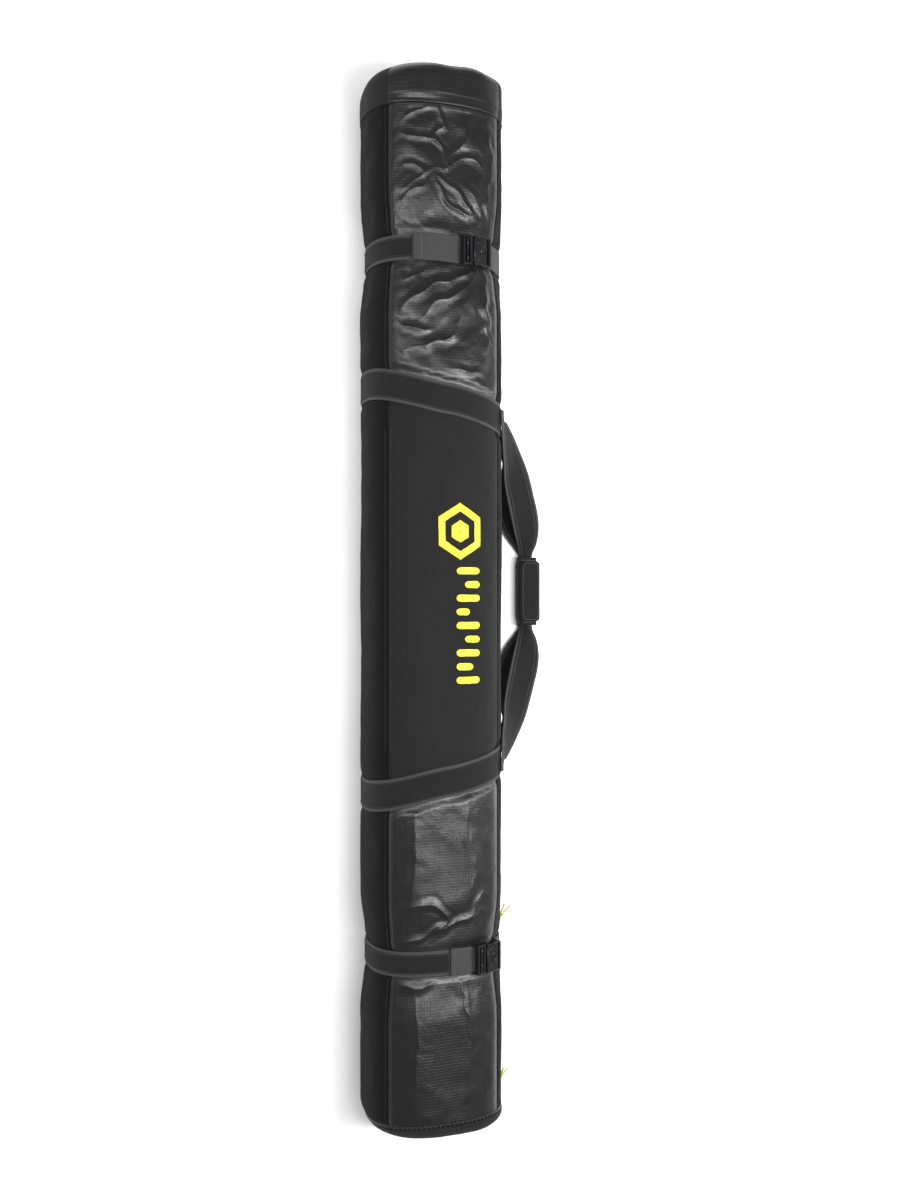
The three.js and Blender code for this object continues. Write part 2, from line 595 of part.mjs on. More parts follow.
slider('main_zip', MAIN_SLIDER_Y, 1);
slider('base_zip', BASE_SLIDER_Y, 0.75);

export default group;
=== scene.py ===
# The looks of the ski bag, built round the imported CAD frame. Metres, in the frame's own axes:
# +Y to the top end, +X to the zip side, +Z out of the front panel.
import math

import bmesh
import bpy
import numpy as np
from mathutils import Matrix, Vector, noise


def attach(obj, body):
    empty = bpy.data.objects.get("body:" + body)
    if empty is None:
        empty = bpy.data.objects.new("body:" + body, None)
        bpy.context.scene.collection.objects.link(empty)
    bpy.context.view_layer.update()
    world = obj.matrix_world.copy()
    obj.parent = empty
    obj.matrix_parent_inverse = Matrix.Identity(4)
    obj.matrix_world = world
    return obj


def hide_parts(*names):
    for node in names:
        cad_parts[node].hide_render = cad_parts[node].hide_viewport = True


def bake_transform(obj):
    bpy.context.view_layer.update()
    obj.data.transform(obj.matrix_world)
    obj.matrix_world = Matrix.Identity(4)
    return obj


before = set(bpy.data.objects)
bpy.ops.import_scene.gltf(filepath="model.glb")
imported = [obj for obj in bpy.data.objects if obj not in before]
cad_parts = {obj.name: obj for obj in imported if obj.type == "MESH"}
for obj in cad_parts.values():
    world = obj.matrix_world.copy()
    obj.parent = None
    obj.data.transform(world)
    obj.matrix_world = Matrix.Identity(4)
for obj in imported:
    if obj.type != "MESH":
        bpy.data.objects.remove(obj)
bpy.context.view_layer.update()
rng = np.random.default_rng(7)
MM = 0.001
TINY = 1e-12
SIDES = (("upper", 1), ("lower", -1))


# --- the bag's surface, as in the CAD --------------------------------------------------------
HALF_LENGTH = 0.944
HALF_WIDTH = 0.127
HALF_HEIGHT = 0.104
CENTRE_Z = 0.096
SECTION_POWER = 2.5
WEBBING = 0.055
COMPRESSION = 0.044
TOP_FOLD_Y = 0.866
UPPER_STRAP_Y = 0.616
LOWER_STRAP_Y = -0.635
HANDLE_MIDDLE = 0.018
CARRY_Y = 0.335
CARRY_SLANT = 0.030
SEAM_ANGLE = 40.0
WAIST = 0.007
WAIST_REACH = 0.110
WAIST_ANGLES = (8, 30)              # degrees from the zip over which the squeeze sets in
END_RADIUS = 0.016                 # of the ends' edges at the zip side
END_RADIUS_GAIN = 0.012            # how much larger it is a quarter of the way round
RIM_FRONT = 0.026
RIM_BACK = 0.005
ZIP_LINE = 0.0066
RECESS = 0.0032
TAPE_EDGE = 0.015
STRAP_FLAT = COMPRESSION / 2 + 0.003
CARRY_FLAT = WEBBING / 2 + 0.003
RECESS_RAMP = 0.010


def add_object(name, data):
    obj = bpy.data.objects.new(name, data)
    bpy.context.scene.collection.objects.link(obj)
    return obj


def unit(vector):
    return vector / (np.linalg.norm(vector) + TINY)


def outwards(points):
    """Square out from the bag's long middle line to each point."""
    away = points - np.array([0, 0, CENTRE_Z])
    away[..., 1] = 0
    return away


def smoothstep(low, high, value):
    t = np.clip((value - low) / (high - low), 0, 1)
    return t * t * (3 - 2 * t)


def plateau(distance, flat, reach):
    return 1 - smoothstep(flat, reach, np.abs(distance))


def carry_y(side, angle):
    return HANDLE_MIDDLE + side * (CARRY_Y - CARRY_SLANT * np.cos(np.radians(angle)))


def from_zip(angle):
    return np.abs((angle + 180) % 360 - 180)


def waist(y, angle):
    upper = plateau(y - UPPER_STRAP_Y, STRAP_FLAT, WAIST_REACH)
    lower = plateau(y - LOWER_STRAP_Y, STRAP_FLAT, WAIST_REACH)
    return WAIST * (upper + lower) * smoothstep(*WAIST_ANGLES, from_zip(angle))


def recess(y, angle):
    total = 0
    for centre in (UPPER_STRAP_Y, LOWER_STRAP_Y):
        total = total + plateau(y - centre, STRAP_FLAT, STRAP_FLAT + RECESS_RAMP)
    for side in (1, -1):
        away = y - carry_y(side, angle)
        total = total + plateau(away, CARRY_FLAT, CARRY_FLAT + RECESS_RAMP)
    return RECESS * total


def end_rounding(y, angle):
    radius = END_RADIUS + END_RADIUS_GAIN * (1 - np.cos(np.radians(angle)))
    past = np.clip(np.abs(y) - (HALF_LENGTH - radius), 0, radius)
    return radius - np.sqrt(radius**2 - past**2)


def surface(y, angle, depth=0.0):
    """Points of the bag: depth is how far they lie inside the outermost skin."""
    y, angle, depth = np.broadcast_arrays(
        np.asarray(y, float), np.asarray(angle, float), np.asarray(depth, float))
    inset = depth + waist(y, angle) + end_rounding(y, angle)
    c, s = np.cos(np.radians(angle)), np.sin(np.radians(angle))
    power = 2 / SECTION_POWER
    x = (HALF_WIDTH - inset) * np.sign(c) * np.abs(c) ** power
    z = CENTRE_Z + (HALF_HEIGHT - inset) * np.sign(s) * np.abs(s) ** power
    return np.stack([x, y, np.maximum(z, depth)], axis=-1)


def angle_at_height(height):
    share = abs(height) / HALF_HEIGHT
    return math.copysign(math.degrees(math.asin(share ** (SECTION_POWER / 2))), height)


def angle_at_x(x):
    share = abs(x) / (HALF_WIDTH - WAIST - RECESS)
    angle = math.degrees(math.acos(share ** (SECTION_POWER / 2)))
    return 180 - angle if x < 0 else angle


def rim_depth(angle):
    height = surface(0.0, angle)[..., 2]
    return RIM_BACK + (RIM_FRONT - RIM_BACK) * height / (CENTRE_Z + HALF_HEIGHT)


def flap_edge(angle):
    return -HALF_LENGTH + rim_depth(angle)


def wall_edge(angle):
    return flap_edge(angle) + ZIP_LINE


TAPE_ANGLE = angle_at_height(TAPE_EDGE)


# --- camera ----------------------------------------------------------------------------------
VIEW_TILT = math.radians(19)       # the camera looks down from a little to the -X side
VIEW_DISTANCE = 2.10
SCALE = 0.001832                   # metres in one pixel at the bag's middle, 1201 pixels high
IMAGE_HEIGHT = 1201
SENSOR = 36.0
ASIDE = 0.0348                     # the bag stands this far left of the middle of the picture


def make_camera():
    right = Vector((math.cos(VIEW_TILT), 0, math.sin(VIEW_TILT)))
    up = Vector((0, 1, 0))
    back = right.cross(up)
    data = bpy.data.cameras.new("camera")
    data.sensor_width = SENSOR
    data.lens = VIEW_DISTANCE / SCALE / IMAGE_HEIGHT * SENSOR
    camera = add_object("camera", data)
    target = Vector((0, 0, CENTRE_Z)) + right * ASIDE
    turn = Matrix((right, up, back)).transposed().to_4x4()
    camera.matrix_world = Matrix.Translation(target + back * VIEW_DISTANCE) @ turn
    bpy.context.scene.camera = camera


def area_light(name, place, target, size, power):
    data = bpy.data.lights.new(name, "AREA")
    data.shape = "RECTANGLE"
    data.size, data.size_y = size
    data.energy = power
    light = add_object(name, data)
    light.location = place
    aim = Vector(target) - Vector(place)
    light.rotation_euler = aim.to_track_quat("-Z", "Y").to_euler()


def make_studio():
    world = bpy.data.worlds.new("studio")
    bpy.context.scene.world = world
    bpy.context.scene.view_settings.view_transform = "Standard"
    world.use_nodes = True
    background = world.node_tree.nodes["Background"]
    background.inputs["Color"].default_value = (1, 1, 1, 1)
    background.inputs["Strength"].default_value = 0.38
    area_light("key", (-1.1, 0.5, 2.1), (0, 0.1, 0), (0.45, 2.2), 46)
    area_light("rim", (1.5, 0.0, 1.3), (0, 0, 0.1), (0.30, 2.4), 30)
    area_light("top", (0.88, -0.22, 2.65), (0, -0.22, 0), (0.36, 2.2), 94)
    bpy.ops.mesh.primitive_plane_add(size=14)
    floor = bpy.context.object
    floor.name = "floor"
    floor.data.materials.append(floor_material())


# --- materials -------------------------------------------------------------------------------
class Shader:
    """A small helper that wires one principled material."""

    def __init__(self, name, roughness, **sockets):
        self.material = bpy.data.materials.new(name)
        self.material.use_nodes = True
        self.tree = self.material.node_tree
        self.principled = self.tree.nodes["Principled BSDF"]
        self.principled.inputs["Roughness"].default_value = roughness
        for socket, value in sockets.items():
            self.principled.inputs[socket.replace("_", " ")].default_value = value

    def node(self, kind, inputs=(), **settings):
        node = self.tree.nodes.new("ShaderNode" + kind)
        for key, value in settings.items():
            setattr(node, key, value)
        for key, value in dict(inputs).items():
            if isinstance(value, bpy.types.NodeSocket):
                self.tree.links.new(value, node.inputs[key])
            else:
                node.inputs[key].default_value = value
        return node

    def math(self, operation, a, b=0.0):
        return self.node("Math", {0: a, 1: b}, operation=operation).outputs[0]

    def sum(self, a, a_share, b, b_share):
        return self.math("ADD", self.math("MULTIPLY", a, a_share), self.math("MULTIPLY", b, b_share))

    def uv(self):
        coordinate = self.node("UVMap", uv_map="cloth").outputs[0]
        parts = self.node("SeparateXYZ", {0: coordinate}).outputs
        return coordinate, parts[0], parts[1]

    def place(self):
        return self.node("TexCoord").outputs["Object"]

    def noise(self, at, scale, detail=3.0):
        settings = {"Vector": at, "Scale": scale, "Detail": detail}
        return self.node("TexNoise", settings).outputs["Fac"]

    def wave(self, along, pitch):
        return self.math("SINE", self.math("MULTIPLY", along, 2 * math.pi / pitch))

    def weave(self, u, v, pitch):
        return self.math("MULTIPLY", self.wave(u, pitch), self.wave(v, pitch))

    def lines(self, along, pitch, sharpness):
        turned = self.math("COSINE", self.math("MULTIPLY", along, math.pi / pitch))
        return self.math("POWER", self.math("ABSOLUTE", turned), sharpness)

    def ramp(self, value, low, high):
        settings = {"Value": value, "To Min": low, "To Max": high}
        return self.node("MapRange", settings).outputs[0]

    def colour(self, value, dark, light):
        mix = self.node("Mix", data_type="RGBA")
        self.tree.links.new(value, mix.inputs[0])
        mix.inputs[6].default_value = (*dark, 1)
        mix.inputs[7].default_value = (*light, 1)
        self.tree.links.new(mix.outputs[2], self.principled.inputs["Base Color"])

    def roughness(self, value):
        self.tree.links.new(value, self.principled.inputs["Roughness"])

    def bump(self, height, distance, strength=1.0):
        settings = {"Height": height, "Distance": distance, "Strength": strength}
        bump = self.node("Bump", settings)
        self.tree.links.new(bump.outputs[0], self.principled.inputs["Normal"])

    def grain(self, scale, distance):
        self.bump(self.noise(self.place(), scale, 2.0), distance)


def grey(value):
    return (value, value, value * 1.03)


def crumple_height(shader, at, size, sharpness):
    """Flat facets with crisp creases between them, as in stiff coated cloth."""
    warp = shader.node("TexNoise", {"Vector": at, "Scale": 0.9 / size, "Detail": 2.0})
    bent = shader.node("VectorMath", {0: warp.outputs["Color"], 1: (size * 1.5,) * 3},
                       operation="MULTIPLY")
    moved = shader.node("VectorMath", {0: at, 1: bent.outputs[0]}, operation="ADD").outputs[0]
    settings = {"Vector": moved, "Scale": 1 / size}
    edges = shader.node("TexVoronoi", settings, feature="DISTANCE_TO_EDGE").outputs["Distance"]
    crease = shader.math("MINIMUM", shader.math("MULTIPLY", edges, sharpness), 1.0)
    cells = shader.node("TexVoronoi", settings, feature="SMOOTH_F1").outputs["Distance"]
    return shader.math("ADD", crease, shader.math("MULTIPLY", cells, 1.6))


def tarpaulin_material():
    """Coated ripstop: a shiny film over a fine square grid of thicker threads."""
    grid_pitch, thread_pitch = 0.0052, 0.0011
    shader = Shader("coated_ripstop", 0.33, Specular_IOR_Level=0.36, Coat_Weight=0.10,
                    Coat_Roughness=0.20)
    at, u, v = shader.uv()
    grid = shader.math("MAXIMUM", shader.lines(u, grid_pitch, 26), shader.lines(v, grid_pitch, 26))
    weave = shader.weave(u, v, thread_pitch)
    threads = shader.sum(grid, 0.8, weave, 0.14)
    shader.colour(shader.sum(grid, 0.3, shader.noise(at, 14.0), 0.5), grey(0.003), grey(0.010))
    scuffed = shader.noise(at, 60.0, 6.0)
    shader.roughness(shader.ramp(scuffed, 0.27, 0.45))
    patchy = shader.math("MAXIMUM", shader.ramp(shader.noise(at, 7.0, 1.0), -1.6, 2.0), 0.0)
    creases = shader.math("MULTIPLY", crumple_height(shader, at, 0.030, 4.0), 0.00035)
    creases = shader.math("MULTIPLY", creases, patchy)
    shader.bump(shader.math("ADD", creases, shader.math("MULTIPLY", threads, 0.00015)), 1.0)
    return shader.material


def polyester_material(name, thread=0.0013, dark=0.003, light=0.008, shine=0.2):
    """Plain-woven matt polyester with a slight fleck."""
    shader = Shader(name, 0.78, Specular_IOR_Level=shine, Sheen_Weight=0.02)
    at, u, v = shader.uv()
    fleck = shader.noise(at, 700.0, 2.0)
    shader.colour(shader.sum(fleck, 0.45, shader.noise(at, 9.0), 0.5), grey(dark), grey(light))
    shader.roughness(shader.ramp(fleck, 0.66, 0.86))
    shader.bump(shader.weave(u, v, thread), 0.00016)
    return shader.material


def webbing_material():
    """Ribbed webbing: herringbone ribs across and fine yarns along."""
    rib_pitch, yarn_pitch, zigzag = 0.0017, 0.0011, 0.006
    shader = Shader("grey_webbing", 0.74, Specular_IOR_Level=0.4, Sheen_Weight=0.05)
    at, u, v = shader.uv()
    across = shader.math("PINGPONG", u, zigzag)
    ribs = shader.wave(shader.math("ADD", v, shader.math("MULTIPLY", across, 0.8)), rib_pitch)
    yarns = shader.wave(u, yarn_pitch)
    worn = shader.noise(at, 160.0, 5.0)
    shader.colour(shader.sum(worn, 0.7, ribs, 0.16), grey(0.017), grey(0.040))
    shader.roughness(shader.ramp(worn, 0.62, 0.84))
    shader.bump(shader.math("ADD", ribs, shader.math("MULTIPLY", yarns, 0.5)), 0.00018)
    return shader.material


def plastic_material():
    """Moulded acetal with a fine spark-eroded grain."""
    shader = Shader("black_acetal", 0.30, Specular_IOR_Level=0.34)
    rubbed = shader.noise(shader.place(), 55.0, 4.0)
    shader.colour(rubbed, (0.0035, 0.0035, 0.004), (0.009, 0.009, 0.010))
    shader.roughness(shader.ramp(rubbed, 0.20, 0.36))
    shader.grain(2600.0, 0.00006)
    return shader.material


def coil_material():
    """Nylon zip coil, slightly worn."""
    shader = Shader("zip_coil", 0.38)
    worn = shader.noise(shader.place(), 420.0, 3.0)
    shader.colour(worn, (0.012, 0.012, 0.013), (0.034, 0.034, 0.036))
    shader.roughness(shader.ramp(worn, 0.3, 0.5))
    shader.grain(2400.0, 0.00005)
    return shader.material


def metal_material():
    """Black-lacquered zinc, rubbed bright in places."""
    shader = Shader("lacquered_zinc", 0.33, Metallic=0.85)
    worn = shader.noise(shader.place(), 240.0, 5.0)
    shader.colour(worn, (0.02, 0.02, 0.022), (0.12, 0.12, 0.125))
    shader.roughness(shader.ramp(worn, 0.24, 0.5))
    shader.grain(1500.0, 0.00005)
    return shader.material


def cord_material():
    """Braided cord: two sets of strands crossing on the slant."""
    strand_pitch = 0.0013
    shader = Shader("braided_cord", 0.62, Sheen_Weight=0.2)
    x, y, z = shader.node("SeparateXYZ", {0: shader.place()}).outputs
    one = shader.wave(shader.math("ADD", y, z), strand_pitch)
    two = shader.wave(shader.math("SUBTRACT", y, shader.math("ADD", x, z)), strand_pitch)
    braid = shader.math("MULTIPLY", one, two)
    shader.colour(shader.ramp(braid, 0.25, 1.0), (0.24, 0.28, 0.015), (0.50, 0.55, 0.035))
    shader.roughness(shader.ramp(braid, 0.52, 0.7))
    shader.bump(braid, 0.0002)
    return shader.material


def thread_material(name, dark, light):
    """Sewing thread, its twist seen as a fine fleck."""
    shader = Shader(name, 0.6)
    twist = shader.noise(shader.place(), 2200.0, 2.0)
    shader.colour(twist, grey(dark), grey(light))
    shader.roughness(shader.ramp(twist, 0.5, 0.7))
    shader.bump(twist, 0.0001)
    return shader.material


def print_material():
    """Screen-printed yellow ink, in which the weave and small gaps still show."""
    shader = Shader("yellow_ink", 0.5)
    at, u, v = shader.uv()
    weave = shader.weave(u, v, 0.0013)
    worn = shader.noise(at, 420.0, 5.0)
    shader.colour(shader.math("ADD", worn, shader.math("MULTIPLY", weave, 0.1)),
                  (0.58, 0.47, 0.010), (0.84, 0.71, 0.026))
    shader.roughness(shader.ramp(worn, 0.42, 0.6))
    shader.bump(weave, 0.00012)
    return shader.material


def floor_material():
    """A pale floor, very slightly uneven in tone."""
    shader = Shader("pale_floor", 0.85)
    shader.colour(shader.noise(shader.place(), 3.0), (0.88, 0.88, 0.88), (0.91, 0.91, 0.91))
    return shader.material


TARPAULIN = tarpaulin_material()
POLYESTER = polyester_material("matt_polyester")
# The gussets' polyester is a darker copy of the matt polyester: painted shade, for the bag's sides
# that face away from the lights.
SHADED_GUSSET = polyester_material("gusset_polyester_painted_shade", dark=0.001, light=0.004, shine=0.09)
FACING = polyester_material("black_facing", thread=0.0009, light=0.009)
WEB = webbing_material()
PLASTIC = plastic_material()
COIL = coil_material()
METAL = metal_material()
CORD = cord_material()
THREAD = thread_material("thread", 0.03, 0.06)
GREY_THREAD = thread_material("grey_thread", 0.10, 0.17)
INK = print_material()


# --- mesh helpers ----------------------------------------------------------------------------
def new_object(name, points, faces, material, uvs=None, smooth=True):
    """uvs is one (u, v) in metres of cloth for each point."""
    mesh = bpy.data.meshes.new(name)
    mesh.from_pydata([tuple(p) for p in points], [], [tuple(f) for f in faces])
    mesh.materials.append(material)
    if uvs is not None:
        layer = mesh.uv_layers.new(name="cloth")
        corners = np.empty(len(mesh.loops), dtype=np.int32)
        mesh.loops.foreach_get("vertex_index", corners)
        layer.data.foreach_set("uv", np.asarray(uvs, float)[corners].ravel())
    if smooth:
        mesh.shade_smooth()
    mesh.update()
    return add_object(name, mesh)


def grid_faces(rows, columns, wrap=False):
    last = columns if wrap else columns - 1
    return [
        (r * columns + c, r * columns + (c + 1) % columns,
         (r + 1) * columns + (c + 1) % columns, (r + 1) * columns + c)
        for r in range(rows - 1) for c in range(last)
    ]


def thicken(obj, thickness, offset=-1.0):
    solidify = obj.modifiers.new("thickness", "SOLIDIFY")
    solidify.thickness = thickness
    solidify.offset = offset
    solidify.use_even_offset = False
    return obj


def apply_modifiers(obj):
    depsgraph = bpy.context.evaluated_depsgraph_get()
    mesh = bpy.data.meshes.new_from_object(obj.evaluated_get(depsgraph))
    obj.modifiers.clear()
    obj.data = mesh
    return obj


def soften(obj, width, segments=2, angle=50):
    """Rounds the edges sharper than angle, in degrees."""
    bevel = obj.modifiers.new("soft_edge", "BEVEL")
    bevel.width, bevel.segments = width, segments
    bevel.limit_method, bevel.angle_limit = "ANGLE", math.radians(angle)
    return apply_modifiers(obj)


def object_from(mesh, name, material):
    """Turns a finished bmesh into an object."""
    data = bpy.data.meshes.new(name)
    mesh.to_mesh(data)
    mesh.free()
    data.materials.clear()
    data.materials.append(material)
    return add_object(name, data)


def arc_lengths(points):
    steps = np.linalg.norm(np.diff(points, axis=0), axis=1)
    return np.concatenate([[0], np.cumsum(steps)])


def along_path(points, run, at):
    """The place at a distance along a path, whose points are run from its start."""
    return np.array([np.interp(at, run, points[:, axis]) for axis in range(3)])


# --- the skin: one grid round the whole bag, wrinkled by cloth simulation ---------------------
def smooth_path(stations, steps):
    """A Catmull-Rom path through the stations, every column of them alike."""
    stations = np.array(stations, float)
    padded = np.vstack([2 * stations[0] - stations[1], stations, 2 * stations[-1] - stations[-2]])
    path = []
    for u in np.linspace(0, len(stations) - 1, steps):
        k = min(int(u), len(stations) - 2)
        t = u - k
        a, b, c, d = padded[k:k + 4]
        path.append(0.5 * (2 * b + (c - a) * t + (2 * a - 5 * b + 4 * c - d) * t ** 2
                           + (3 * b - a - 3 * c + d) * t ** 3))
    return np.array(path)


CELL = 0.0062                      # about one grid cell, in metres of cloth
SEAMS = [-SEAM_ANGLE, -TAPE_ANGLE, TAPE_ANGLE, SEAM_ANGLE,
         180 - SEAM_ANGLE, 180 + SEAM_ANGLE, 360 - SEAM_ANGLE]
PANEL_GROUPS = ["zip_gusset_back", "zip_tapes", "zip_gusset_front", "front", "bottom", "back"]


def skin_angles():
    """Angles evenly spaced along the cloth, with one exactly on each seam."""
    angles, starts = [], []
    for low, high in zip(SEAMS[:-1], SEAMS[1:]):
        fine = np.linspace(low, high, 400)
        length = arc_lengths(surface(0.0, fine))
        count = max(2, round(length[-1] / CELL))
        starts.append(len(angles))
        angles.extend(np.interp(np.linspace(0, length[-1], count + 1)[:-1], length, fine))
    return np.array(angles), starts


ANGLES, GROUP_STARTS = skin_angles()
ROWS = round(1.79 / CELL)
COLUMNS = len(ANGLES)
PUCKER = 0.0016                    # the skin dips into each long seam
PUCKER_REACH = 0.006


def row_y(share, angle):
    low = wall_edge(angle)
    return low + (TOP_FOLD_Y - low) * share


def cloth_around():
    """Distance round the section to each column, in metres."""
    ring = surface(0.0, np.append(ANGLES, ANGLES[0] + 360))
    return arc_lengths(ring)[:-1]


AROUND = cloth_around()
GIRTH = AROUND[-1] + CELL
SEAM_COLUMNS = [GROUP_STARTS[i] for i in (0, 3, 4, 5)]


def seam_distance():
    away = np.full(COLUMNS, 9.0)
    for column in SEAM_COLUMNS:
        gap = np.abs(AROUND - AROUND[column])
        away = np.minimum(away, np.minimum(gap, GIRTH - gap))
    return away


def rest_skin():
    share = np.linspace(0, 1, ROWS)[:, None]
    angle = ANGLES[None, :]
    y = row_y(share, angle)
    dip = PUCKER * np.exp(-((seam_distance() / PUCKER_REACH) ** 2))[None, :]
    return surface(y, angle, recess(y, angle) + dip), y


def pin_weights(y):
    """1 where the skin is sewn down, 0 where it is free to wrinkle."""
    angle = ANGLES[None, :]
    pins = np.zeros_like(y)
    for centre in (UPPER_STRAP_Y, LOWER_STRAP_Y):
        pins = np.maximum(pins, plateau(y - centre, COMPRESSION / 2, COMPRESSION / 2 + 0.012))
    for side in (1, -1):
        pins = np.maximum(pins, plateau(y - carry_y(side, angle), WEBBING / 2, WEBBING / 2 + 0.012))
    ends = np.minimum(y - wall_edge(angle), TOP_FOLD_Y - y)
    pins = np.maximum(pins, plateau(ends, 0.004, 0.014))
    pins = np.maximum(pins, plateau(seam_distance()[None, :], 0.003, 0.010))
    zip_side = plateau(from_zip(angle), TAPE_ANGLE + 1, TAPE_ANGLE + 6)
    return np.maximum(pins, zip_side)


def tightness(y):
    """0 where the cloth is cut loosest and so wrinkles most, 1 where it is tight."""
    angle = ANGLES[None, :]
    from_handle = np.abs(y - HANDLE_MIDDLE)
    off_middle = smoothstep(-0.02, 0.02, from_handle - carry_y(1, angle) + HANDLE_MIDDLE)
    front_or_back = smoothstep(SEAM_ANGLE - 4, SEAM_ANGLE + 4, from_zip(angle))
    front_or_back = front_or_back * (1 - smoothstep(136, 146, from_zip(angle)))
    upper = smoothstep(-0.1, 0.1, y)
    loose = off_middle * (0.25 + 0.75 * front_or_back) * (0.22 + 0.78 * upper)
    return 1 - loose


SLACKEST = -0.026                  # the cloth is cut this share larger than the filled shape
TIGHTEST = -0.007
FRAMES = 26
UPPER_WRINKLES = 0.45               # share kept of the simulated wrinkles above the middle panel
LOWER_WRINKLES = 0.3
OUT_LIMIT = 0.0075
IN_LIMIT = 0.0065


def simulate_skin(points, y):
    """Lets slack cloth buckle between its seams, and returns the wrinkled points."""
    flat = points.reshape(-1, 3) + rng.normal(0, 0.00025, (ROWS * COLUMNS, 3))
    obj = new_object("skin_simulation", flat, grid_faces(ROWS, COLUMNS, wrap=True), POLYESTER)
    pinned = obj.vertex_groups.new(name="pinned")
    tight = obj.vertex_groups.new(name="tight")
    for index, (pin, tautness) in enumerate(zip(pin_weights(y).ravel(), tightness(y).ravel())):
        pinned.add([index], float(pin), "REPLACE")
        tight.add([index], float(tautness), "REPLACE")
    cloth = obj.modifiers.new("cloth", "CLOTH")
    settings = cloth.settings
    settings.quality = 6
    settings.mass = 0.25
    settings.tension_stiffness = settings.compression_stiffness = 22
    settings.shear_stiffness = 9
    settings.bending_stiffness = 0.9
    settings.air_damping = 2
    settings.vertex_group_mass = "pinned"
    settings.vertex_group_shrink = "tight"
    settings.shrink_min, settings.shrink_max = SLACKEST, TIGHTEST
    settings.use_pressure = True
    settings.uniform_pressure_force = 0.35
    settings.effector_weights.gravity = 0
    cloth.collision_settings.use_collision = False
    cloth.point_cache.frame_start, cloth.point_cache.frame_end = 1, FRAMES
    scene = bpy.context.scene
    for step in range(1, FRAMES + 1):
        scene.frame_set(step)
    done = obj.evaluated_get(bpy.context.evaluated_depsgraph_get()).to_mesh()
    moved = np.empty(ROWS * COLUMNS * 3)
    done.vertices.foreach_get("co", moved)
    scene.frame_set(1)
    bpy.data.objects.remove(obj)
    return moved.reshape(ROWS, COLUMNS, 3)


def grid_normals(points):
    along = np.gradient(points, axis=0)
    wrapped = np.concatenate([points[:, -1:], points, points[:, :1]], axis=1)
    around = (wrapped[:, 2:] - wrapped[:, :-2])
    normal = np.cross(around, along)
    normal /= np.linalg.norm(normal, axis=-1, keepdims=True) + TINY
    return normal * np.sign(np.sum(normal * outwards(points), axis=-1, keepdims=True))


# creases of the front panel: height, half-width and the (x, y) points each runs through
CREASES = [
    (0.0030, 0.0050, [(-0.088, 0.826), (-0.065, 0.809), (-0.036, 0.803), (-0.003, 0.782)]),
    (0.0032, 0.0045, [(-0.088, 0.835), (-0.065, 0.848), (-0.032, 0.858), (-0.007, 0.832),
                      (-0.024, 0.803), (-0.005, 0.760), (-0.043, 0.743)]),
    (0.0028, 0.0050, [(-0.003, 0.782), (0.034, 0.811), (0.038, 0.839)]),
    (0.0030, 0.0050, [(-0.005, 0.760), (0.034, 0.782), (0.071, 0.752)]),
    (0.0030, 0.0045, [(-0.088, 0.752), (-0.078, 0.764), (-0.043, 0.743), (-0.069, 0.725),
                      (-0.090, 0.716)]),
    (0.0034, 0.0045, [(-0.024, 0.737), (0.015, 0.721), (0.046, 0.678)]),
    (0.0030, 0.0045, [(-0.024, 0.733), (0.001, 0.694), (0.046, 0.677)]),
    (0.0030, 0.0055, [(-0.088, 0.688), (-0.069, 0.713), (-0.036, 0.723)]),
    (0.0032, 0.0050, [(0.034, 0.733), (0.056, 0.698), (0.061, 0.655)]),
    (0.0024, 0.0060, [(0.078, 0.846), (0.084, 0.799), (0.082, 0.729), (0.072, 0.659)]),
    (0.0044, 0.0070, [(0.056, 0.592), (-0.003, 0.561), (-0.065, 0.525), (-0.094, 0.497)]),
    (0.0036, 0.0060, [(0.061, 0.590), (0.026, 0.549), (-0.016, 0.518), (-0.057, 0.486)]),
    (0.0034, 0.0060, [(0.070, 0.592), (0.075, 0.518), (0.086, 0.447)]),
    (0.0030, 0.0060, [(-0.094, 0.493), (-0.069, 0.475), (-0.036, 0.467)]),
    (0.0040, 0.0075, [(-0.078, 0.439), (-0.024, 0.447), (0.009, 0.478), (0.046, 0.549)]),
    (0.0026, 0.0050, [(0.005, 0.408), (0.038, 0.404), (0.078, 0.392)]),
    (0.0030, 0.0060, [(0.080, 0.549), (0.071, 0.486), (0.080, 0.408)]),
    (0.0026, 0.0050, [(-0.090, 0.580), (-0.078, 0.563), (-0.036, 0.580)]),
    (0.0034, 0.0060, [(-0.078, -0.534), (-0.038, -0.530), (-0.006, -0.556), (-0.030, -0.592)]),
    (0.0034, 0.0055, [(-0.030, -0.592), (0.008, -0.562), (0.064, -0.552)]),
    (0.0030, 0.0050, [(-0.080, -0.594), (-0.046, -0.588), (-0.010, -0.566)]),
    (0.0030, 0.0055, [(0.034, -0.560), (0.072, -0.518)]),
    (0.0026, 0.0060, [(-0.086, -0.664), (-0.058, -0.676), (-0.026, -0.670)]),
    (0.0026, 0.0070, [(0.018, -0.658), (0.030, -0.694), (0.042, -0.740)]),
    (0.0024, 0.0080, [(0.043, -0.398), (0.051, -0.520)]),
    (0.0036, 0.0150, [(-0.066, -0.330), (-0.060, -0.420), (-0.066, -0.540)]),
    (0.0040, 0.0160, [(0.036, -0.330), (0.030, -0.430), (0.038, -0.540)]),
    (0.0034, 0.0150, [(-0.060, -0.670), (-0.056, -0.770), (-0.064, -0.890)]),
    (0.0040, 0.0160, [(0.034, -0.670), (0.040, -0.780), (0.032, -0.890)]),
]
CREASE_STRENGTH = 0.95
LONG_FOLD = 0.010                  # half-width from which a crease is a long straight fold
CREASE_BLUNT = 0.0013              # how rounded a crease's crest is
CREASE_SPREAD = 2.6                # how far its flat flanks reach, in half-widths


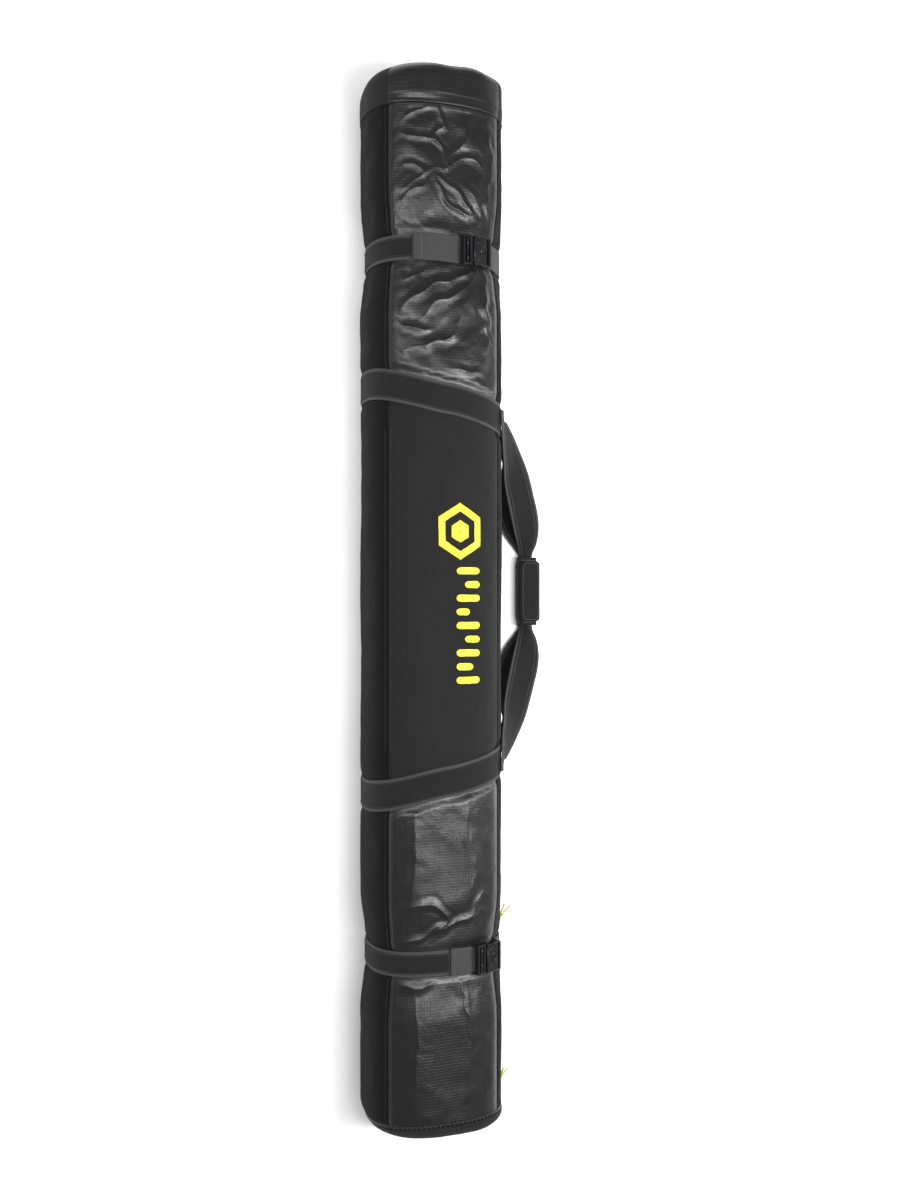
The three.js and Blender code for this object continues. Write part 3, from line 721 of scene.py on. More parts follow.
def line_distance(x, y, line):
    """Distance to a polyline, and how far along it the nearest point is, from 0 to 1."""
    nearest = np.full_like(x, 9.0)
    share = np.zeros_like(x)
    count = len(line) - 1
    for k, (start, end) in enumerate(zip(line[:-1], line[1:])):
        run_x, run_y = end[0] - start[0], end[1] - start[1]
        t = np.clip(((x - start[0]) * run_x + (y - start[1]) * run_y)
                    / (run_x ** 2 + run_y ** 2), 0, 1)
        away = np.hypot(x - start[0] - t * run_x, y - start[1] - t * run_y)
        closer = away < nearest
        nearest = np.where(closer, away, nearest)
        share = np.where(closer, (k + t) / count, share)
    return nearest, share


def crease_height(x, y):
    """Crisp ridges between shallow hollows, tapering to nothing at their ends."""
    total = np.zeros_like(x)
    wander_x = 0.004 * np.sin(y * 61 + 1.3) + 0.002 * np.sin(y * 173)
    wander_y = 0.004 * np.sin(x * 67 + 0.4) + 0.002 * np.sin(x * 151 + 2.0)
    for height, half_width, points in CREASES:
        line = smooth_path(points, 4 * len(points))
        steady = 0.25 if half_width > LONG_FOLD else 1.0
        away, share = line_distance(x + steady * wander_x, y + steady * wander_y,
                                    [tuple(p) for p in line])
        taper = np.sin(np.pi * np.clip(share, 0.02, 0.98)) ** 0.6
        blunted = np.hypot(away, CREASE_BLUNT)
        flanks = np.maximum(0, 1 - blunted / (CREASE_SPREAD * half_width))
        crest = np.exp(-2.3 * away / half_width)
        hollow = np.exp(-((away - 2.0 * half_width) / (0.9 * half_width)) ** 2)
        total += height * taper * (0.40 * flanks + 0.60 * crest - 0.22 * hollow)
    return CREASE_STRENGTH * total


def facet_height(x, y, size, depth, seed):
    """Pillowed facets with crisp valleys between them, at most depth deep."""
    spread = np.random.default_rng(seed)
    lean = math.radians(35)
    along = (x * math.cos(lean) + y * math.sin(lean)) / 1.35
    across = -x * math.sin(lean) + y * math.cos(lean)
    reach = 1.05
    count = int((2 * reach) * 0.36 / size ** 2)
    seeds = spread.uniform((-reach, -reach), (reach, reach), (count, 2))
    best = np.full_like(x, -9.0)
    near = seeds[(np.abs(seeds[:, 0]) < 0.75)]
    for seed_x, seed_y in near:
        lift = spread.uniform(-0.3, 0.3) * depth
        lean_x, lean_y = spread.normal(0, 0.035, 2)
        away_x, away_y = along - seed_x, across - seed_y
        gap = (away_x ** 2 + away_y ** 2) / (0.5 * size) ** 2
        best = np.maximum(best, lift + lean_x * away_x + lean_y * away_y - 0.6 * depth * gap)
    return np.maximum(best, -1.5 * depth)


# where the coated cloth has crumpled into facets: y from, y to, size and depth
CRUMPLED = [(0.655, 0.880, 0.044, 0.0016), (0.395, 0.600, 0.060, 0.0011),
            (-0.600, -0.540, 0.040, 0.0010)]


def soft_dents(points, size, height):
    """Slow unevenness, from smooth noise."""
    flat = points.reshape(-1, 3)
    values = np.array([noise.noise(Vector(p) / size) for p in flat])
    return height * values.reshape(points.shape[:-1])


def make_skin():
    rest, y = rest_skin()
    free = 1 - pin_weights(y)
    normal = grid_normals(rest)
    moved = simulate_skin(rest, y)
    rise = np.sum((moved - rest) * normal, axis=-1)
    slide = (moved - rest) - rise[..., None] * normal
    rest = rest + np.clip(slide, -0.004, 0.004) * free[..., None]
    rise = np.where(rise > 0, OUT_LIMIT * np.tanh(rise / OUT_LIMIT),
                    IN_LIMIT * np.tanh(rise / IN_LIMIT))
    calm = LOWER_WRINKLES + (UPPER_WRINKLES - LOWER_WRINKLES) * smoothstep(0.30, 0.38, y)
    rise = rise * calm
    stretched = rest * [1, 0.35, 1]
    rise = rise + soft_dents(stretched, 0.07, 0.0022) * free
    skin = rest + rise[..., None] * normal
    skin[..., 2] = np.maximum(skin[..., 2], 0.0006)
    return skin


SKIN = make_skin()
SKIN_NORMALS = grid_normals(SKIN)


def on_skin(y, angle, lift=0.0):
    """A point on the wrinkled skin, lifted off it along its normal."""
    angle = (angle - SEAMS[0]) % 360 + SEAMS[0]
    columns = np.append(ANGLES, ANGLES[0] + 360)
    column = np.interp(angle, columns, np.arange(COLUMNS + 1))
    low = wall_edge(angle)
    row = np.clip((y - low) / (TOP_FOLD_Y - low), 0, 1) * (ROWS - 1)
    r, c = min(int(row), ROWS - 2), int(column)
    fr, fc = row - r, column - c
    after = (c + 1) % COLUMNS
    c = c % COLUMNS

    def mix(grid):
        first = grid[r, c] * (1 - fc) + grid[r, after] * fc
        second = grid[r + 1, c] * (1 - fc) + grid[r + 1, after] * fc
        return first * (1 - fr) + second * fr

    return mix(SKIN) + lift * mix(SKIN_NORMALS)


PANEL_SHELL = 0.0016


def free_cloth(points):
    """1 where the cloth is free to crease, falling to 0 at seams, straps and bands."""
    x, y, z = points.T
    angle = np.degrees(np.arctan2(z - CENTRE_Z, x)) % 360
    held = np.zeros_like(y)
    for centre in (UPPER_STRAP_Y, LOWER_STRAP_Y):
        held = np.maximum(held, plateau(y - centre, COMPRESSION / 2 + 0.002, COMPRESSION / 2 + 0.014))
    for side in (1, -1):
        away = y - carry_y(side, angle)
        held = np.maximum(held, plateau(away, WEBBING / 2 + 0.002, WEBBING / 2 + 0.014))
    held = np.maximum(held, plateau(TOP_FOLD_Y - y, 0.003, 0.014))
    held = np.maximum(held, 1 - smoothstep(0.004, 0.020, y + HALF_LENGTH - RIM_FRONT - ZIP_LINE))
    corner = np.abs(((angle % 180) - 90))
    gap = np.interp(corner, [0, 40, 48, 52], [1.0, 1.0, 0.25, 0.0])
    return (1 - held) * gap


def add_relief(obj, front):
    """Push a subdivided panel's points out and in by its creases and facets."""
    mesh = obj.data
    points = np.empty(len(mesh.vertices) * 3)
    mesh.vertices.foreach_get("co", points)
    points = points.reshape(-1, 3)
    normals = np.empty(len(mesh.vertices) * 3)
    mesh.vertex_normals.foreach_get("vector", normals)
    normals = normals.reshape(-1, 3)
    normals *= np.sign(np.sum(normals * outwards(points), axis=1))[:, None]
    x, y = (1 if front else -1) * points[:, 0], points[:, 1]
    rise = crease_height(x, y)
    for number, (low, high, size, depth) in enumerate(CRUMPLED):
        zone = smoothstep(low - 0.03, low + 0.02, y) * (1 - smoothstep(high - 0.02, high + 0.03, y))
        rise += zone * facet_height(x, y, size, depth, 20 + number + 10 * (not front))
    points += normals * (rise * free_cloth(points))[:, None]
    points[:, 2] = np.maximum(points[:, 2], 0.0008)
    mesh.vertices.foreach_set("co", points.ravel())
    mesh.update()


def skin_piece(name, rows, columns, material, replaces):
    """Cuts one panel out of the skin by its mask of rows and columns of faces."""
    index = -np.ones((ROWS, COLUMNS + 1), dtype=int)
    points, uvs, faces = [], [], []

    def vertex(r, c):
        if index[r, c] < 0:
            index[r, c] = len(points)
            points.append(SKIN[r, c % COLUMNS])
            around = AROUND[c] if c < COLUMNS else GIRTH
            uvs.append((around, SKIN[r, c % COLUMNS][1]))
        return index[r, c]

    for r in range(ROWS - 1):
        for c in columns:
            if rows(r, c):
                faces.append([vertex(r, c), vertex(r, c + 1), vertex(r + 1, c + 1), vertex(r + 1, c)])
    obj = new_object(name, points, faces, material, uvs)
    creased = material is TARPAULIN
    levels = 2 if creased else 1
    if levels:
        subdivide = obj.modifiers.new("finer", "SUBSURF")
        subdivide.levels = subdivide.render_levels = levels
        apply_modifiers(obj)
    if creased:
        add_relief(obj, name.startswith("front"))
    thicken(obj, PANEL_SHELL, 1.0 if face_points_in(obj) else -1.0)
    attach(obj, "bag")
    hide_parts(*replaces)
    return obj


def face_points_in(obj):
    polygon = obj.data.polygons[len(obj.data.polygons) // 2]
    out = polygon.center - Vector((0, polygon.center.y, CENTRE_Z))
    return polygon.normal.dot(out) < 0


def declare_cut(columns, rows):
    """Works out the flat size the panel was cut to (its width round the bag and its length) and its
    area, and does nothing more with them.
    """
    steps = np.diff(np.append(AROUND, GIRTH))
    lengths = []
    for c in columns:
        kept = [r for r in range(ROWS - 1) if rows(r, c)]
        low, high = (row_y(r / (ROWS - 1), ANGLES[c]) for r in (kept[0], kept[-1] + 1))
        lengths.append(high - low)
    lengths = np.array(lengths, float)
    widths = steps[list(columns)]
    flat = (round(float(widths.sum()), 3), round(float(lengths.max()) + 0.001, 3))
    area = min(float((widths * lengths).sum()), flat[0] * flat[1])


def make_panels():
    first = dict(zip(PANEL_GROUPS, GROUP_STARTS))
    ends = dict(zip(PANEL_GROUPS, GROUP_STARTS[1:] + [COLUMNS]))
    middle_y = np.array([[SKIN[r, c][1] for c in range(COLUMNS)] for r in range(ROWS)])
    bands = {side: carry_y(side, ANGLES) for side in (1, -1)}

    def upper(r, c):
        return middle_y[r, c % COLUMNS] > bands[1][c % COLUMNS]

    def lower(r, c):
        return middle_y[r, c % COLUMNS] < bands[-1][c % COLUMNS]

    def middle(r, c):
        return not upper(r, c) and not lower(r, c)

    def everywhere(_r, _c):
        return True

    for group in ("front", "back"):
        columns = range(first[group], ends[group])
        for part, rows, look in (("upper", upper, TARPAULIN), ("middle", middle, POLYESTER),
                                 ("lower", lower, TARPAULIN)):
            cad = f"{group}_panel_{part}"
            piece = skin_piece(f"{cad}_cloth", rows, columns, look, replaces=[cad])
            declare_cut(columns, rows)
    for group, cad, slot in (
        ("bottom", ["bottom_gusset"], "polyester"),
        ("zip_gusset_front", ["zip_gusset_front"], "polyester"),
        ("zip_gusset_back", ["zip_gusset_back"], "polyester"),
        ("zip_tapes", ["zip_tape_front", "zip_tape_back"], "zip"),
    ):
        columns = range(first[group], ends[group])
        # The gussets take the darker copy of the polyester, which is painted shade.
        look = FACING if slot == "zip" else SHADED_GUSSET
        name = group if group == "zip_tapes" else cad[0]
        piece = skin_piece(f"{name}_cloth", everywhere, columns, look, replaces=cad)
        declare_cut(columns, everywhere)


# --- sewn strips, stitches and tubes ---------------------------------------------------------
STRIP_COLUMNS = 7
STITCH_PITCH = 0.0038
STITCH_RADIUS = 0.00028
STITCH_LIFT = 0.00025              # how far a stitch's middle lies off the cloth
TUBE_SIDES = 8


def strip_mesh(name, centres, widths, thickness, material):
    """A flat strip of webbing along its centre points, its width along Y, closed all round."""
    share = np.linspace(-0.5, 0.5, STRIP_COLUMNS)
    run = arc_lengths(np.array(centres))
    across = np.array([0.0, 1.0, 0.0])
    points, uvs = [], []
    for centre, width, distance in zip(centres, widths, run):
        for s in share:
            points.append(centre + across * (s * width))
            uvs.append((s * width + 0.5, distance))
    obj = new_object(name, points, grid_faces(len(centres), STRIP_COLUMNS), material, uvs)
    thicken(obj, thickness, 0.0)
    return soften(obj, thickness * 0.3)


def surface_strip(name, angles, centre, width, depth, thickness, material, ragged=0.0):
    """A strip lying round the bag; depth is how far its outer face lies inside the skin."""
    centre_y = np.array([centre(a) for a in angles])
    centres = []
    for point in surface(centre_y, angles, depth + thickness / 2):
        wander = ragged * noise.noise(Vector(point) * 22)
        centres.append(point + np.array([0, wander, 0]))
    return strip_mesh(name, centres, [width] * len(centres), thickness, material)


def stitch_row(name, points, normals, material, body, pitch=STITCH_PITCH):
    """Short separate stitches along a line, each a small pointed bar lying on the cloth."""
    points, normals = np.array(points), np.array(normals)
    run = arc_lengths(points)
    count = max(2, int(run[-1] / pitch))
    vertices, faces = [], []
    for k in range(count):
        ends = [(k + 0.14) * pitch, (k + 0.5) * pitch, (k + 0.86) * pitch]
        spots = [along_path(points, run, end) for end in ends]
        normal = unit(along_path(normals, run, ends[1]))
        side = unit(np.cross(normal, spots[2] - spots[0]))
        base = len(vertices)
        for spot, size in zip(spots, (0.55, 1.0, 0.55)):
            middle = spot + normal * STITCH_LIFT * size
            for u, v in ((1, 0), (0, 1), (-1, 0), (0, -1)):
                vertices.append(middle + (side * u * 1.3 + normal * v) * STITCH_RADIUS * size)
        for ring in range(2):
            for i in range(4):
                a, b = base + ring * 4 + i, base + ring * 4 + (i + 1) % 4
                faces.append((a, b, b + 4, a + 4))
        faces.append((base + 3, base + 2, base + 1, base))
        faces.append((base + 8, base + 9, base + 10, base + 11))
    vertices = np.array(vertices)
    vertices[:, 2] = np.maximum(vertices[:, 2], 0.0001)
    obj = new_object(name, vertices, faces, material)
    if body:
        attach(obj, body)
    return obj


def tube(name, points, radius, material, closed=False):
    """A round tube through the points, closed at both ends or into a ring."""
    points = np.array(points)
    tangents = np.gradient(points, axis=0)
    if closed:
        tangents = np.roll(points, -1, axis=0) - np.roll(points, 1, axis=0)
    side = np.array([0.0, 0.0, 1.0])
    vertices = []
    for point, tangent in zip(points, tangents):
        tangent = unit(tangent)
        side = unit(side - tangent * side.dot(tangent))
        up = np.cross(tangent, side)
        for k in range(TUBE_SIDES):
            turn = 2 * math.pi * k / TUBE_SIDES
            vertices.append(point + (side * math.cos(turn) + up * math.sin(turn)) * radius)
    rows = len(points)
    faces = grid_faces(rows, TUBE_SIDES, wrap=True)
    last = (rows - 1) * TUBE_SIDES
    if closed:
        for k in range(TUBE_SIDES):
            after = (k + 1) % TUBE_SIDES
            faces.append((last + k, last + after, after, k))
    else:
        faces.append(tuple(reversed(range(TUBE_SIDES))))
        faces.append(tuple(last + k for k in range(TUBE_SIDES)))
    return new_object(name, vertices, faces, material)


# --- carry bands and compression straps ------------------------------------------------------
THICK = 0.0018
FACING_THICK = 0.0008
BAND_DEPTH = 0.0011
FACING_INSET = 0.011               # how much narrower the facing is than its webbing
STITCH_INSET = 0.004               # how much closer its two rows of stitches are than its edges


def angle_run(low, high, step=1.5):
    return np.linspace(low, high, max(3, int(abs(high - low) / step)))


def stitched_edges(name, angles, centre, width):
    """A row of stitches along each edge of a facing this wide."""
    for number, side in enumerate((-1, 1)):
        y = [centre(a) + side * width / 2 for a in angles]
        points = surface(np.array(y), angles, -0.0001)
        stitch_row(f"{name}_{number}", points, outwards(points), THREAD, "bag")


def faced_band(names, nodes, angles, centre, width, ragged, facing_angles=None):
    """Webbing round the bag, with a narrower black facing sewn along its middle.

    names are those of the webbing, the facing and its stitches, nodes the CAD nodes replaced.
    """
    band = surface_strip(names[0], angles, centre, width, BAND_DEPTH, THICK, WEB, ragged)
    dress(band, "bag", "webbing", nodes[0])
    if facing_angles is not None:
        angles = facing_angles
    face = surface_strip(names[1], angles, centre, width - FACING_INSET, 0.0, FACING_THICK, FACING)
    dress(face, "bag", "facing", *nodes[1:])
    for name in names[2:]:
        stitched_edges(name, angles, centre, width - FACING_INSET - STITCH_INSET)


def make_bands():
    for place, side in SIDES:
        def centre(angle, side=side):
            return carry_y(side, angle)

        name = f"{place}_carry"
        faced_band((f"{name}_webbing", f"{name}_facing", f"{name}_stitches"),
                   (f"{name}_band", f"{name}_band_facing"),
                   angle_run(SEAM_ANGLE - 2, 360 - SEAM_ANGLE + 2), centre, WEBBING, 0.0006)


def dress(obj, body, slot, *replaced):
    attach(obj, body)
    if replaced:
        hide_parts(*replaced)
    return obj


STRAPS = {
    "upper": (UPPER_STRAP_Y, 0.048, (-0.060, 0.018)),
    "lower": (LOWER_STRAP_Y, 0.072, (0.004, 0.042)),
}
STRAP_SPLIT = 300
BUCKLE_LIFT = 0.0006
TAIL_LIFT = 0.0024


def make_straps():
    for place, (y, buckle_x, tail_x) in STRAPS.items():
        def centre(_angle, y=y):
            return y

        name = f"{place}_strap"
        faced_band((f"{name}_webbing", f"{name}_black", f"{name}_stitches"),
                   (f"{name}_band", f"{name}_facing"),
                   angle_run(angle_at_x(buckle_x - 0.014), STRAP_SPLIT), centre, COMPRESSION, 0.0005,
                   angle_run(angle_at_x(tail_x[0] - 0.003), STRAP_SPLIT - 2))
        angles = angle_run(STRAP_SPLIT - 359.7, angle_at_x(buckle_x + 0.020))
        stub = surface_strip(f"{place}_stub_webbing", angles, centre, COMPRESSION, BAND_DEPTH,
                             THICK, WEB, 0.0004)
        dress(stub, "bag", "webbing", f"{name}_stub")
        make_tail(place, y, tail_x)
        make_buckle(place, y, buckle_x)


def make_tail(place, y, tail_x):
    """The webbing tail that comes back through the adjuster, with its folded hem."""
    steps, hem_steps = 26, 6
    xs = np.linspace(*tail_x, steps)
    rise = 0.0012 * np.sin(np.linspace(0, math.pi, steps))
    slant = np.linspace(0.0016, 0, steps)
    centres = [surface(y, angle_at_x(x), 0.0009 - TAIL_LIFT - r) + np.array([0, s, 0])
               for x, r, s in zip(xs, rise, slant)]
    widths = [COMPRESSION + 0.004] * steps
    body = f"{place}_buckle_male"
    tail = strip_mesh(f"{place}_tail_webbing", centres, widths, THICK, WEB)
    dress(tail, body, "webbing", f"{place}_strap_tail")
    hem = [c + np.array([0, 0, 0.0019]) for c in centres[:hem_steps]]
    fold = strip_mesh(f"{place}_tail_hem", hem, widths[:hem_steps], THICK, WEB)
    dress(fold, body, "webbing")
    line = [hem[4] + np.array([0, s, 0.0011]) for s in np.linspace(-0.022, 0.022, 14)]
    stitch_row(f"{place}_hem_stitches", line, [(0, 0, 1)] * len(line), GREY_THREAD, body, 0.003)


def buckle_frame(y, x):
    """Where a buckle sits: its own X along the strap, Z out of the bag."""
    step = 0.001
    # both straps lie on alike stretches of the bag, so one gives the slope for both
    a = surface(UPPER_STRAP_Y, angle_at_x(x - step))
    b = surface(UPPER_STRAP_Y, angle_at_x(x + step))
    slope = -math.atan2(b[2] - a[2], b[0] - a[0])
    seat = Vector(surface(y, angle_at_x(x)))
    turn = Matrix.Rotation(slope, 4, "Y")
    return Matrix.Translation(seat) @ turn @ Matrix.Translation((0, 0, BUCKLE_LIFT))


def moulded(node, bevel=0.0007):
    """A copy of a CAD node with its edges rounded as a moulding's are."""
    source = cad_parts[node]
    mesh = bmesh.new()
    mesh.from_mesh(source.data)
    bmesh.ops.remove_doubles(mesh, verts=mesh.verts, dist=1e-6)
    bmesh.ops.dissolve_limit(mesh, angle_limit=math.radians(2), verts=mesh.verts, edges=mesh.edges)
    obj = object_from(mesh, f"{node}_moulded", PLASTIC)
    soften(obj, bevel, 3, 28)
    obj.data.shade_smooth()
    obj.data.set_sharp_from_angle(angle=math.radians(35))
    return obj


def raised_bar(name, place, middle, size, body):
    """A small rounded rib moulded on the buckle's face, in the buckle's own frame."""
    mesh = bmesh.new()
    bmesh.ops.create_cube(mesh, size=1.0)
    bmesh.ops.scale(mesh, vec=size, verts=mesh.verts)
    bmesh.ops.bevel(mesh, geom=mesh.edges[:], offset=min(size[1:]) * 0.35, segments=2,
                    affect="EDGES")
    bmesh.ops.transform(mesh, matrix=place @ Matrix.Translation(middle), verts=mesh.verts)
    obj = object_from(mesh, name, PLASTIC)
    obj.data.shade_smooth()
    return dress(obj, body, "plastic")


def make_buckle(place, y, x):
    seat = buckle_frame(y, x)
    for half, body in (("female", "bag"), ("male", f"{place}_buckle_male")):
        piece = moulded(f"{place}_buckle_{half}")
        dress(piece, body, "plastic", f"{place}_buckle_{half}")
    for end in ("top", "base"):
        piece = moulded(f"{place}_prong_{end}", 0.0004)
        dress(piece, f"{place}_prong_{end}", "plastic", f"{place}_prong_{end}")
    decorate_female(place, seat)
    for number in range(2):
        raised_bar(f"{place}_ladder_grip_{number}", seat, (-0.0185, (number - 0.5) * 0.026, 0.0107),
                   (0.0022, 0.018, 0.001), f"{place}_buckle_male")


def face_line(name, seat, points, radius, height=0.0123):
    """A raised line moulded on the buckle's face, through points in its own X and Y."""
    line = [seat @ Vector((x, y, height)) for x, y in points]
    dress(tube(name, line, radius, PLASTIC), "bag", "plastic")


def arc(middle_x, radius, low, high, steps=22):
    turns = np.radians(np.linspace(low, high, steps))
    return [(middle_x + radius * math.cos(t), radius * math.sin(t)) for t in turns]


def decorate_female(place, seat):
    """A raised D, an arc round it, slanting grip ribs and a rim, as moulded in the cover."""
    half_round = arc(0.0070, 0.0078, -90, 90)
    face_line(f"{place}_face_half_round", seat, half_round + half_round[:1], 0.0009)
    face_line(f"{place}_face_arc", seat, arc(0.0065, 0.0122, -68, 68), 0.0008)
    for number, x in enumerate((-0.0045, -0.0015, 0.0015)):
        for side in (1, -1):
            start = (x, side * (0.0105 + 0.0012 * number))
            end = (x + 0.0060, side * (0.0185 + 0.0012 * number))
            face_line(f"{place}_face_rib_{number}_{side}", seat, [start, end], 0.0007)
    rim = [(0.0240, -0.0245), (-0.0060, -0.0245), (-0.0060, 0.0245), (0.0240, 0.0245)]
    for number, (start, end) in enumerate(zip(rim[:-1], rim[1:])):
        face_line(f"{place}_face_rim_{number}", seat, [start, end], 0.0008, 0.0120)


# --- the carry handle ------------------------------------------------------------------------
GRIP_X = 0.222
GRIP_Z = 0.018
GRIP_HALF = 0.066
ROOT_ANGLE = angle_at_height(0.022)
STITCH_RING = 0.006                # how far the rings of stitches are from the grip's ends
# y, angle, distance off the bag, width and tilt, down the bag's side from the loop's hem
LOOP_START = [
    (0.348, 21, 0.0022, 0.050, 66), (0.332, 20, 0.0028, 0.051, 66),
    (0.314, 18, 0.0070, 0.052, 60), (0.280, 8, 0.0200, 0.053, 36),
]
# x, y, z, width and the tilt of the face towards +X, from the bag to the grip
FRONT_ROUTE = [
    (0.171, 0.240, 0.084, 0.054, 6), (0.193, 0.195, 0.058, 0.056, 0),
    (0.2125, 0.150, 0.037, 0.056, 0), (0.2205, 0.116, 0.027, 0.044, 0),
    (0.222, 0.092, 0.022, 0.027, 0), (0.222, 0.070, 0.021, 0.024, 0),
    (0.222, 0.0181, 0.021, 0.024, 0),
]
BACK_ROUTE = [
    (0.166, 0.240, 0.036, 0.046, -4), (0.178, 0.190, 0.018, 0.044, 0),
    (0.194, 0.145, 0.012, 0.042, 0), (0.214, 0.112, 0.012, 0.034, 0),
    (0.222, 0.092, 0.014, 0.026, 0), (0.222, 0.070, 0.015, 0.024, 0),
    (0.222, 0.0181, 0.015, 0.024, 0),
]
LOOP_CLOTH = WEBBING - 0.002       # the width of the loop's webbing laid flat
LOOP_COLUMNS = 13
LOOP_EDGE = 0.0075                 # the grey edge left showing each side of the black facing


def loop_frames(side, front):
    """Stations from the loop's hem on the bag, down the side, and out to the grip."""
    sign = 1 if front else -1
    stations = []
    for y, angle, out, width, tilt in LOOP_START:
        spot = surface(y, sign * angle) + np.array([out, 0, 0])
        stations.append((spot[0], y, spot[2], width, tilt if front else 180 - tilt))
    stations += FRONT_ROUTE if front else BACK_ROUTE
    mirrored = [(x, HANDLE_MIDDLE + side * (y - HANDLE_MIDDLE), z, width, tilt)
                for x, y, z, width, tilt in stations]
    return smooth_path(mirrored, 110)


def loop_grid(frames):
    """A loop's points, row by row, and their places on the cloth: narrow stretches curl."""
    centres = frames[:, :3]
    tangents = np.gradient(centres, axis=0)
    run = arc_lengths(centres)
    points, uvs = [], []
    for centre, tangent, (width, tilt), distance in zip(centres, tangents, frames[:, 3:], run):
        tilt = math.radians(tilt)
        across = unit(np.cross(tangent, [math.sin(tilt), 0, math.cos(tilt)]))
        normal = unit(np.cross(across, tangent))
        narrow = 1 - width / LOOP_CLOTH
        for s in np.linspace(-0.5, 0.5, LOOP_COLUMNS):
            curl = -0.020 * narrow * (abs(2 * s) ** 2.2)
            wander = 0.0016 * noise.noise(Vector(centre * 18 + across * s * 0.9))
            points.append(centre + across * s * width + normal * (curl + wander + 0.004 * narrow))
            uvs.append((s * LOOP_CLOTH + 0.5, distance))
    return np.array(points), uvs


def make_loop(place, side, front):
    """One half of a handle loop: webbing with a black facing between its grey edges."""
    end = "front" if front else "back"
    name = f"{end}_handle_{place}"
    points, uvs = loop_grid(loop_frames(side, front))
    rows = len(points) // LOOP_COLUMNS
    strip = new_object(f"{name}_webbing", points, grid_faces(rows, LOOP_COLUMNS), WEB, uvs)
    strip.data.materials.append(FACING)
    for polygon in strip.data.polygons:
        middle = sum(uvs[v][0] for v in polygon.vertices) / 4 - 0.5
        polygon.material_index = 1 if abs(middle) < WEBBING / 2 - LOOP_EDGE else 0
    thicken(strip, 0.0028, 0.0)
    soften(strip, 0.0008)
    hold_loop(strip)
    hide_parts(f"{end}_handle_loop_{place}")
    stitch_loop(name, points.reshape(rows, LOOP_COLUMNS, 3))


def stitch_loop(name, grid):
    """A row of stitches near each edge of a loop, ending before the grip."""
    bare = 14                      # rows at the grip's end that have no stitches
    for number, column in enumerate((2, LOOP_COLUMNS - 3)):
        line = grid[:-bare, column]
        across = grid[:-bare, column + 1] - grid[:-bare, column - 1]
        normals = np.cross(across, np.gradient(line, axis=0))
        normals *= np.sign(normals[:, 2])[:, None] + 1e-9
        normals /= np.linalg.norm(normals, axis=1)[:, None]
        stitches = stitch_row(f"{name}_stitches_{number}", line + normals * 0.0014, normals,
                              GREY_THREAD, None)
        hold_loop(stitches)


def hold_loop(obj):
    """Bakes the loop's place into its points and leaves it on no body, so it neither bends nor swings
    with the handle.
    """
    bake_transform(obj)


def make_root(place, side, front):
    """The end of a carry band between the gusset's seam and the loop."""
    end = "front" if front else "back"
    sign = 1 if front else -1
    low, high = sorted((sign * ROOT_ANGLE, sign * (SEAM_ANGLE - 2.4)))

    def centre(angle):
        return carry_y(side, angle)

    name = f"{end}_{place}_root"
    faced_band((f"{name}_webbing", f"{name}_facing"), (f"{end}_handle_{place}_root",),
               angle_run(low, high, 1.0), centre, WEBBING, 0.0006)


def rounded_loop(half_width, half_thick, radius, corner_steps=6):
    """Points round a rectangle with round corners, anticlockwise from the +X side."""
    points = []
    for k, (sx, sz) in enumerate(((1, 1), (-1, 1), (-1, -1), (1, -1))):
        for step in range(corner_steps + 1):
            turn = math.pi / 2 * (k + step / corner_steps)
            points.append(((half_width - radius) * sx + radius * math.cos(turn),
                           (half_thick - radius) * sz + radius * math.sin(turn)))
    return points


def make_grip():
    """The padded wrap round the two loops, swollen between its stitched ends."""
    rows = 44
    shape = rounded_loop(0.0208, 0.0128, 0.008)
    inner = rounded_loop(0.0164, 0.0082, 0.0045)
    sides = len(shape)
    outside, inside, uvs = [], [], []
    for r in range(rows):
        share = r / (rows - 1)
        along = GRIP_HALF * (2 * share - 1)
        edge = min(share, 1 - share) * 2 * GRIP_HALF
        pinch = 0.90 - 0.03 * math.exp(-((edge - STITCH_RING) / 0.003) ** 2)
        size = pinch + (1 - pinch) * float(smoothstep(0.0, 0.022, edge))
        for k, (x, z) in enumerate(shape):
            y = HANDLE_MIDDLE + along
            bump = 1 + 0.016 * noise.noise(Vector((x * 60, y * 34, z * 60)))
            outside.append((GRIP_X + x * size * bump, y, GRIP_Z + z * size * bump))
            uvs.append((0.005 * k, share * 2 * GRIP_HALF))
        inside += [(GRIP_X + x, HANDLE_MIDDLE + along * 0.99, GRIP_Z + z) for x, z in inner]
    faces = grid_faces(rows, sides, wrap=True)
    faces += [tuple(rows * sides + v for v in reversed(face)) for face in faces]
    for row, turned in ((0, True), (rows - 1, False)):
        for k in range(sides):
            a, b = row * sides + k, row * sides + (k + 1) % sides
            ring = (a, b, b + rows * sides, a + rows * sides)
            faces.append(tuple(reversed(ring)) if turned else ring)
    grip = new_object("padded_grip", outside + inside, faces, POLYESTER, uvs * 2)
    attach(grip, "carry_handle")
    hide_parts("grip_wrap")
    for number, y in enumerate((STITCH_RING - GRIP_HALF, GRIP_HALF - STITCH_RING)):
        ring = [np.array((GRIP_X + x * 0.885, HANDLE_MIDDLE + y, GRIP_Z + z * 0.885))
                for x, z in shape + shape[:1]]
        normals = [point - np.array((GRIP_X, point[1], GRIP_Z)) for point in ring]
        stitch_row(f"grip_ring_stitches_{number}", ring, normals, GREY_THREAD, "carry_handle", 0.003)
    make_grip_flap()


